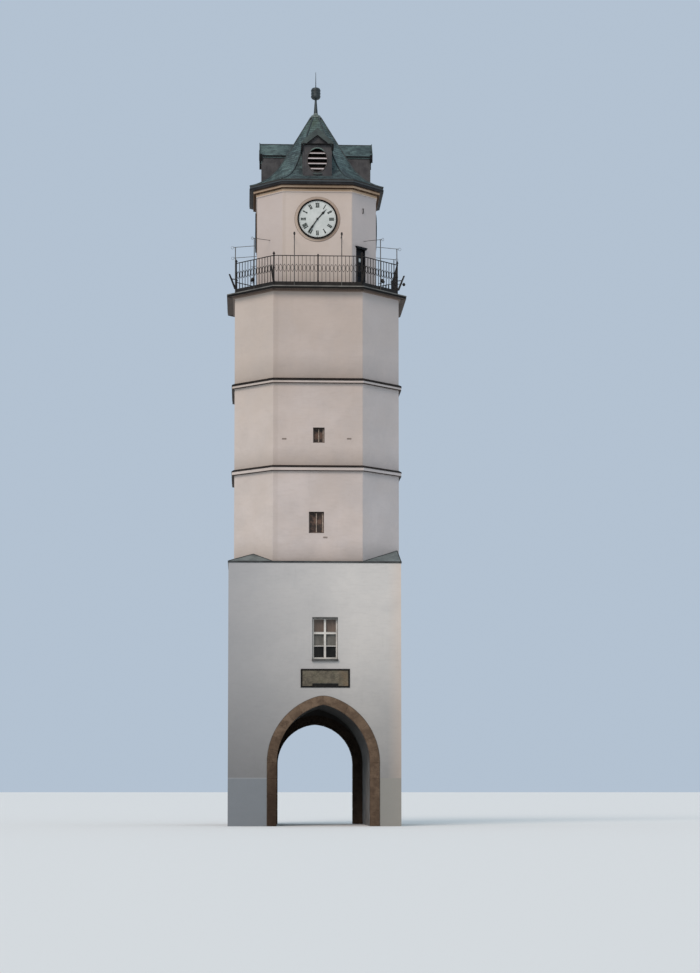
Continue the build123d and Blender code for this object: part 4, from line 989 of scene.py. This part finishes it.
# Gallery door.
# A narrow door in blue-black paint on the front right corner of the drum, with two panels in
# planted mouldings and two small panes at eye height. An iron hook is bolted in above it.
door_turn = 45
door_middle = -0.205
door_half = 0.24
drum_face = 1.459
drum_cut = (drum_half + drum_face) / sqrt(2)
door_face = drum_cut - 0.06
hook_place = np.array([-0.08, drum_cut, 26.27])
hook_radius = 0.02
door_paint = Finish("door_paint", 0.5, gloss=0.12).tones(0.3, (22, 24, 29), (13, 14, 18))
door_paint.coat((34, 46, 62), 0.5, ("Z", 23.42, 23.36), door_paint.mottle(0.3))
dress(door_paint.grain(0.02, 0.001, stretch=(1, 1, 14)), "gallery_door", "gallery_door_frame")
panel_top, bead_top = door_face + 0.016, door_face + 0.014
panel_profile = [(0, door_face), (0, panel_top), (0.03, panel_top), (0.045, door_face)]
pane_profile = [(0, door_face), (0, bead_top), (0.012, bead_top), (0.012, door_face)]
pane_places = ((-0.29, -0.13, 24.02, 24.22), (-0.09, 0.0, 24.0, 24.12))
panel_left, panel_right = door_middle - door_half + 0.04, door_middle + door_half - 0.04
mouldings = [
    frame_round(panel_left, panel_right, bottom, top, panel_profile)
    for bottom, top in ((22.74, 23.36), (23.44, 23.88))
]
mouldings += [frame_round(*place, pane_profile) for place in pane_places]
door_trim = lofts_at([door_turn], mouldings, ring_rows=True)
build("gallery_door_mouldings", door_paint, "door_paint", *door_trim)

hook = rods(
    hook_place + [(0, 0.05, -0.11), (0, -0.01, -0.09), (0, -0.01, 0.09)],
    hook_place + [(0, 0.05, 0.11), (0, 0.06, -0.09), (0, 0.06, 0.09)],
    hook_radius,
)
build("drum_hook", pole_zinc, "railing_iron", *lofts_at([door_turn], [hook]))
door_glass = Finish("door_glass", 0.08).tones(0.2, (196, 204, 206), (170, 178, 182))
door_glass.coat((110, 116, 120), 1.0, ("Z", 24.10, 24.02)).grain(0.3, 0.002, detail=1.0)
pane_out = (door_face - 0.002, door_face + 0.005)
panes = [
    boards((left + 0.01, right - 0.01), pane_out, (bottom + 0.01, top - 0.01))
    for left, right, bottom, top in pane_places
]
build("gallery_door_panes", door_glass, "window_glass", *lofts_at([door_turn], panes))


# Eaves mouldings and gutter.
# Under the box gutter runs an ochre cornice with a small quarter-round bed mould. The gutter
# is dark sheet metal under a paler apron, with a rolled bead below the apron and at its foot.
eave_half, eave_face = 2.875, 1.53
gutter_low, gutter_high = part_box("eave_gutter")
bed_foot = eave_high.z - 0.114
bed_out, bed_drop = 0.075, 0.06
apron_foot = gutter_high.z - 0.042
lip_radius, foot_radius = 0.022, 0.012
bed_profile = [(0.04, bed_foot)] + [
    (0.165 - bed_out + bed_out * np.sin(a), bed_foot - bed_drop * np.cos(a) * 0.4)
    for a in np.linspace(0, pi / 2, 5)
]
build("eave_bed_mould", ochre, "ochre_plaster", eight_sided(bed_profile, drum_half, drum_face))
gutter_metal = Finish("gutter_metal", 0.6, gloss=0.2).tones(0.4, (46, 45, 47), (32, 32, 34), detail=5.0)
gutter_metal.coat((64, 72, 76), 1.0, ("Z", apron_foot - 0.003, apron_foot))
dress(gutter_metal.grain(0.1, 0.002), "eave_gutter")
beads = [
    [(radius * np.cos(a), level + radius * np.sin(a)) for a in np.linspace(0, 2 * pi, 8, endpoint=False)]
    for radius, level in ((lip_radius, apron_foot - lip_radius), (foot_radius, gutter_low.z + foot_radius))
]
gutter_beads = [eight_sided(bead, eave_half, eave_face) for bead in beads]
build("gutter_lip", gutter_metal, "gutter_metal", *gutter_beads)


# Bell-cast roof.
# Boards under courses of small copper shingles, laid to a hollow line at the eaves and a
# straight one above, with a dark roll along each of the eight hips.
roof_base = gutter_high.z
knee = np.array([1.50, 1.215])
top = np.array([0.15, 3.632])
eave_lip = np.array([eave_half, 0.06])
cut_ratio = (eave_half + eave_face) / sqrt(2) / eave_half
shingled_length = 4.5
shingle_course = 0.135
shingle_lap = 1.25
shingle_width = 0.19
shingle_gap = 0.004
shingle_butt = 0.016
shingle_head = 0.003
shingle_under = 0.004
shingle_least = 0.02
gable_peak, gable_fall = 2.30, 0.99
gable_half, gable_back = 0.55, 2.2
hip_length = 4.46
hip_radius = 0.035


def bell_line(travel, ratio):
    """Roof line in section at a distance up the slope from the lip: a circular arc that meets
    the straight upper slope without a corner, then that slope. Returns the distance from the
    axis with the height, and the outward normal, of each point."""
    slope_end, slope_start, lip = top * [ratio, 1], knee * [ratio, 1], eave_lip * [ratio, 1]
    fall = (slope_start - slope_end) / np.linalg.norm(slope_start - slope_end)
    normal = np.array([-fall[1], fall[0]])
    chord = lip - slope_start
    radius = (chord @ chord) / (2 * chord @ normal)
    centre = slope_start + radius * normal
    start, finish = (np.arctan2(*(end - centre)[::-1]) % (2 * pi) for end in (lip, slope_start))
    arc_length = radius * (start - finish)
    angle = start - np.clip(travel, 0, arc_length) / radius
    ahead = np.clip(travel - arc_length, 0, None)[..., None]
    point = centre + radius * np.stack([np.cos(angle), np.sin(angle)], -1) - ahead * fall
    return point, -np.stack([np.cos(angle), np.sin(angle)], -1)


def side_reach(up, kind):
    """Half the length of a roof side at a height, where it meets its neighbours: sqrt 2
    times the neighbour's distance from the axis, less its own."""
    travel = np.linspace(0, 4.9, 400)
    main, cut = (bell_line(travel, ratio)[0] for ratio in (1, cut_ratio))
    main_out = np.interp(up, main[:, 1], main[:, 0])
    cut_out = np.interp(up, cut[:, 1], cut[:, 0])
    return sqrt(2) * cut_out - main_out if kind == "main" else sqrt(2) * main_out - cut_out


def shingles(kind, ratio):
    """All shingles of one roof side: courses up the line, a half-width shift on every other
    course, and each shingle's four corners cut back to the hips at their own height."""
    courses = np.arange(int(shingled_length / shingle_course))
    course, column = np.meshgrid(courses, np.arange(-9, 10), indexing="ij")
    low = (course * shingle_course).ravel()
    left = ((column + 0.5 * (course % 2)) * shingle_width).ravel()
    travel = np.stack([low, low + shingle_course * shingle_lap], -1)
    point, normal = bell_line(travel, ratio)
    lift = np.array([shingle_butt, shingle_head])[None, :, None]
    reach = side_reach(point[..., 1], kind)
    upper, lower = point + lift * normal, point - shingle_under * normal
    rows = []
    for edge in (left + shingle_gap, left + shingle_width - shingle_gap):
        along = np.clip(edge[:, None], -reach, reach)
        outline = [
            np.stack([along[:, end], skin[:, end, 0], skin[:, end, 1]], -1)
            for skin, end in ((lower, 0), (upper, 0), (upper, 1), (lower, 1))
        ]
        rows.append(np.stack(outline, 1))
    grid = np.stack(rows, 1)
    kept = np.abs(grid[:, 1, 0, 0] - grid[:, 0, 0, 0]) > shingle_least
    if kind == "main":
        along, out, up = grid.mean(axis=(1, 2)).T
        in_gable = (np.abs(along) < gable_half) & (up < gable_peak - gable_fall * np.abs(along))
        kept &= ~(in_gable & (out < gable_back))
    return (grid + [0, 0, roof_base])[kept]


copper = Finish("roof_copper", 0.6, 0.15).tones(0.7, (60, 76, 78), (80, 100, 101), detail=6.0)
copper.coat((38, 47, 50), 0.6, copper.ramp(copper.tone(), 0.55, 0.9))
copper.coat((112, 136, 134), 0.35, copper.ramp(copper.tone(), 0.3, 0.0))
pale = copper.mottle(0.5, detail=6.0, low=0.4, high=0.7)
copper.coat((122, 144, 140), 0.4, ("X", -0.4, -1.6), pale)
moss = copper.mottle(0.4, low=0.3, high=0.6)
copper.coat((72, 88, 66), 0.6, ("Z", 29.9, 30.7), moss)
copper.coat((38, 45, 47), 0.3, copper.mottle(0.12, stretch=(1, 1, 7), low=0.5, high=0.75))
copper.coat((52, 56, 62), 0.4, ("Z", 28.2, 27.5), copper.between("X", -0.9, 0.9, 0.4))
dress(copper.grain(0.05, 0.002), "dormer_roofs")
roof_boards = Finish("roof_boards", 0.8).tones(0.2, (44, 40, 37), (28, 26, 25), stretch=(1, 1, 4))
dress(roof_boards.grain(0.05, 0.002), "roof_shell")
roof_sides = lofts_at(quarters, [shingles("main", 1)])
roof_sides += lofts_at((45, 135, 225, 315), [shingles("cut", cut_ratio)])
build("roof_shingles", copper, "roof_copper", *roof_sides)

hip_metal = Finish("hip_metal", 0.55, 0.2).tones(0.3, (60, 72, 74), (42, 50, 52)).grain(0.05, 0.002)
out, up = bell_line(np.linspace(0.0, hip_length, 40), 1)[0].T
hip_reach = side_reach(up, "main")
hip_paths = [np.stack([sign * hip_reach, out, up + roof_base + 0.01], -1) for sign in (-1, 1)]
hip_rounds = [path[:, None] + circles(np.gradient(path, axis=0), hip_radius, 8) for path in hip_paths]
hips = lofts_at(quarters, [rounds[None] for rounds in hip_rounds])
build("hip_rolls", hip_metal, "roof_copper", *hips, soften=60)


# Dormers.
# Four gabled sound openings framed in timber under seamed brown-grey sheet, with an oval ring
# round painted louvre blades whose slopes carry painted shade, copper verges and drip, a dark rod
# of painted shadow along each verge, a dark beam that stands for the shade under the gable,
# corbels and eave boards.
dormer_front = 2.35
dormer_half = 0.62
dormer_eave, dormer_ridge = 1.66, 2.32
dormer_roof_half = 0.665
oval_centre = roof_base + 1.018
oval_halves = (0.415 + 0.02, 0.51 + 0.02)
oval_wire = 0.024
verge_wire = 0.016
ridge_radius = 0.03
dormer_courses = 8
dormer_columns = 10
tile_overlap = 0.15
verge_front = dormer_front + 0.09

dormer_sheet = Finish("dormer_sheet", 0.7, 0.1).tones(0.35, (72, 71, 72), (52, 51, 54), detail=5.0)
runs = dormer_sheet.mottle(0.08, stretch=(1, 1, 8), low=0.5, high=0.75)
dress(dormer_sheet.coat((42, 41, 44), 0.4, runs).grain(0.05, 0.002), "dormer_walls")
louvre_paint = Finish("louvre_paint", 0.6)
split = add_node(louvre_paint.tree, "SeparateXYZ", {"Vector": louvre_paint.place()})
distance = louvre_paint.reckon("MAXIMUM", *[louvre_paint.reckon("ABSOLUTE", split[axis]) for axis in "XY"])
clouds = louvre_paint.mottle(0.2, stretch=(6, 6, 1))
blade_face = louvre_paint.mixed(clouds, (206, 198, 200), (176, 168, 168))
# Painted shade: the blades' slopes are dark behind a light front edge.
front_edge = louvre_paint.ramp(distance, 2.328, 2.340)
louvre_paint.paint(louvre_paint.mixed(front_edge, (62, 48, 46), blade_face))
dress(louvre_paint.grain(0.02, 0.001, stretch=(10, 10, 1)), "dormer_louvres")
dormer_dark = Finish("dormer_dark", 0.65, gloss=0.1).tones(0.2, (26, 26, 28), (15, 15, 17))
dormer_dark.grain(0.03, 0.002)
verge_copper = Finish("verge_copper", 0.6, 0.15).tones(0.3, (62, 75, 73), (46, 56, 56), detail=5.0)
verge_copper.grain(0.05, 0.002)
ring_sheet = Finish("opening_ring_sheet", 0.65, 0.1).tones(0.2, (78, 72, 70), (58, 54, 54))
ring_sheet.coat((104, 124, 118), 1.0, ("Z", oval_centre + 0.36, oval_centre + 0.46))
ring_sheet.grain(0.05, 0.002)


def both_sides(part):
    """A part given on the right of a dormer, from its outer to its inner edge, on both."""
    return np.array([(-part[1], -part[0]), part])


def swept(line, section):
    """A board whose upright section changes along it, from (along, foot, crest) places."""
    rows = [[(along, *corner) for corner in section(foot, crest)] for along, foot, crest in line]
    return np.array(rows)[None]


lift = [0, 0, roof_base]
verge_line = [(-0.69, 1.70, 1.765), (-0.45, 1.71, 1.995), (0, 2.07, 2.40)]
verge_line += [(-along, foot, crest) for along, foot, crest in verge_line[1::-1]]
verge_back, verge_face = verge_front - 0.01, verge_front + 0.022
verge = lift + swept(
    verge_line,
    lambda foot, crest: [(verge_back, foot), (verge_face, foot), (verge_face, crest), (verge_back, crest)],
)
drip_line = [(-0.20, 0.43, 0.45), (-0.08, 0.40, 0.50), (0.08, 0.40, 0.50), (0.20, 0.43, 0.45)]
drip_back, drip_face = dormer_front + 0.002, dormer_front + 0.05
sill_drip = lift + swept(
    drip_line,
    lambda foot, crest: [(drip_back, foot), (drip_face, foot - 0.02), (drip_face, foot), (drip_back, crest)],
)
# Painted shadow: a dark rod runs along the lower edge of each verge.
verge_shadow_rods = lift + rods(
    [(sign * 0.44, verge_front + 0.02, 1.722) for sign in (-1, 1)],
    [(sign * 0.004, verge_front + 0.02, 2.065) for sign in (-1, 1)],
    verge_wire,
)
# Painted shade: a dark beam under the gable stands for the shade of its overhang.
shade_beam = lift + boards((-0.62, 0.62), (dormer_front - 0.01, verge_front + 0.024), (1.675, 1.715))
corbel_up = [(1.40, 1.715), (1.44, 1.715)]
corbels = lift + boards(both_sides((0.60, 0.70)), (dormer_front - 0.01, verge_front + 0.02), corbel_up)
eave_boards = lift + boards(both_sides((0.645, 0.69)), (1.2, verge_front - 0.012), (1.605, 1.672))
post_out = (dormer_front - 0.01, dormer_front + 0.016)
dormer_posts = lift + boards(both_sides((0.56, 0.622)), post_out, (0.40, 1.60))
seams = [
    lift + boards((side - 0.008, side + 0.008), (out - 0.008, out + 0.008), (0.5, 1.42))
    for side in (-dormer_half, dormer_half)
    for out in (1.55, 1.85, 2.15)
]
oval_spot = [(0, dormer_front + 0.004, oval_centre)]
oval_ring = oval_rings(oval_spot, *oval_halves, oval_wire, around=40, sides=6)
ridge_up = roof_base + dormer_ridge + 0.01
ridge_roll = rods((0, dormer_front + 0.10, ridge_up), (0, 0.75, ridge_up), ridge_radius, sides=8)
dark_parts, green_parts, sheet_parts, ring_parts, ridge_parts = [], [], [], [], []
for turn in quarters:
    dark_parts += lofts_at([turn], (verge_shadow_rods, shade_beam, corbels, eave_boards))
    green_parts += lofts_at([turn], (verge, sill_drip))
    sheet_parts += lofts_at([turn], [dormer_posts] + seams)
    ring_parts += lofts_at([turn], [oval_ring], ring_rows=True)
    ridge_parts += lofts_at([turn], [ridge_roll])
build("dormer_verges", verge_copper, "roof_copper", *green_parts)
build("dormer_shade_beam_and_trim", dormer_dark, "dormer_sheet", *dark_parts)
build("dormer_trim", dormer_sheet, "dormer_sheet", *sheet_parts)
build("dormer_opening_rings", ring_sheet, "dormer_sheet", *ring_parts)
build("dormer_ridge_rolls", hip_metal, "roof_copper", *ridge_parts)

slope = np.array([dormer_roof_half, dormer_eave - dormer_ridge])
slope_length = np.linalg.norm(slope)
slope_line = slope / slope_length
slope_normal = np.array([-slope_line[1], slope_line[0]])
course, column = np.meshgrid(np.arange(dormer_courses), np.arange(dormer_columns), indexing="ij")
course, column = course.ravel(), column.ravel()
head = slope_length - (course + 1) * slope_length / dormer_courses
butt = head + slope_length / dormer_courses
left = verge_front - (column + 1 - 0.5 * (course % 2)) * shingle_width
tucked = head - 0.03
skins = ((butt, -shingle_under), (butt, shingle_butt), (tucked, shingle_head), (tucked, -shingle_under))
roof_out, roof_up = bell_line(np.linspace(0, 4.6, 200), 1)[0].T
dormer_tiles = []
for sign in (-1, 1):
    rows = []
    for edge in (left + shingle_gap, left + shingle_width - shingle_gap):
        edge = np.minimum(edge, verge_front)
        outline = []
        for travel, raised in skins:
            spot = travel[:, None] * slope_line + raised * slope_normal
            outline.append(np.stack([sign * spot[:, 0], edge, spot[:, 1] + roof_base + dormer_ridge], -1))
        rows.append(np.stack(outline, 1))
    grid = np.stack(rows, 1)
    along, out, up = grid.mean(axis=(1, 2)).T
    outside = out > np.interp(up - roof_base, roof_up, roof_out) - tile_overlap
    dormer_tiles += lofts_at(quarters, [grid[outside]])
build("dormer_shingles", copper, "roof_copper", *dormer_tiles)


# Finial.
# A tapered copper stem carries a dark barrel with raised bands, and a plain pointed rod. A
# collar of sheet metal covers the meeting of the hips.
stem_low, stem_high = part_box("finial_stem")
barrel_low, barrel_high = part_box("finial_ball")
rod_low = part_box("finial_rod")[0]
finial_metal = Finish("finial_metal", 0.5, 0.3).tones(0.15, (58, 68, 70), (42, 50, 52), detail=5.0)
dress(finial_metal.grain(0.03, 0.001), "finial_stem", "finial_ball", "finial_rod")
collar_sheet = Finish("collar_sheet", 0.6, 0.1)
collar_sheet.tones(0.08, (72, 84, 80), (112, 122, 118), low=0.4, high=0.6).grain(0.05, 0.002)
band_in, band_out = barrel_high.x - 0.02, barrel_high.x + 0.012
bands = []
for part in (0.24, 0.5, 0.76):
    level = barrel_low.z + part * (barrel_high.z - barrel_low.z)
    steps = [(band_in, -0.03), (band_out, -0.02), (band_out, 0.02), (band_in, 0.03)]
    bands.append(loft(turned([(radius, level + up) for radius, up in steps], sides=32)))
for base, steps in (
    (stem_high.z, [(0.04, -0.05), (0.056, -0.03), (0.06, -0.005), (0.05, 0.01)]),
    (rod_low.z, [(0.035, -0.01), (0.038, 0.015), (0.026, 0.035), (0.02, 0.045)]),
):
    bands.append(loft(turned([(radius, base + up) for radius, up in steps], sides=24)))
build("finial_bands", finial_metal, "finial_metal", *bands, soften=50)
collar_steps = [(0.225, -0.13), (0.25, -0.12), (0.20, -0.02), (0.16, 0.015), (0.11, 0.03)]
collar_steps += [(0.088, 0.10), (0.07, 0.10)]
collar = eight_sided([(out, stem_low.z + up) for out, up in collar_steps], 0, 0)
build("roof_collar", collar_sheet, "roof_copper", collar)
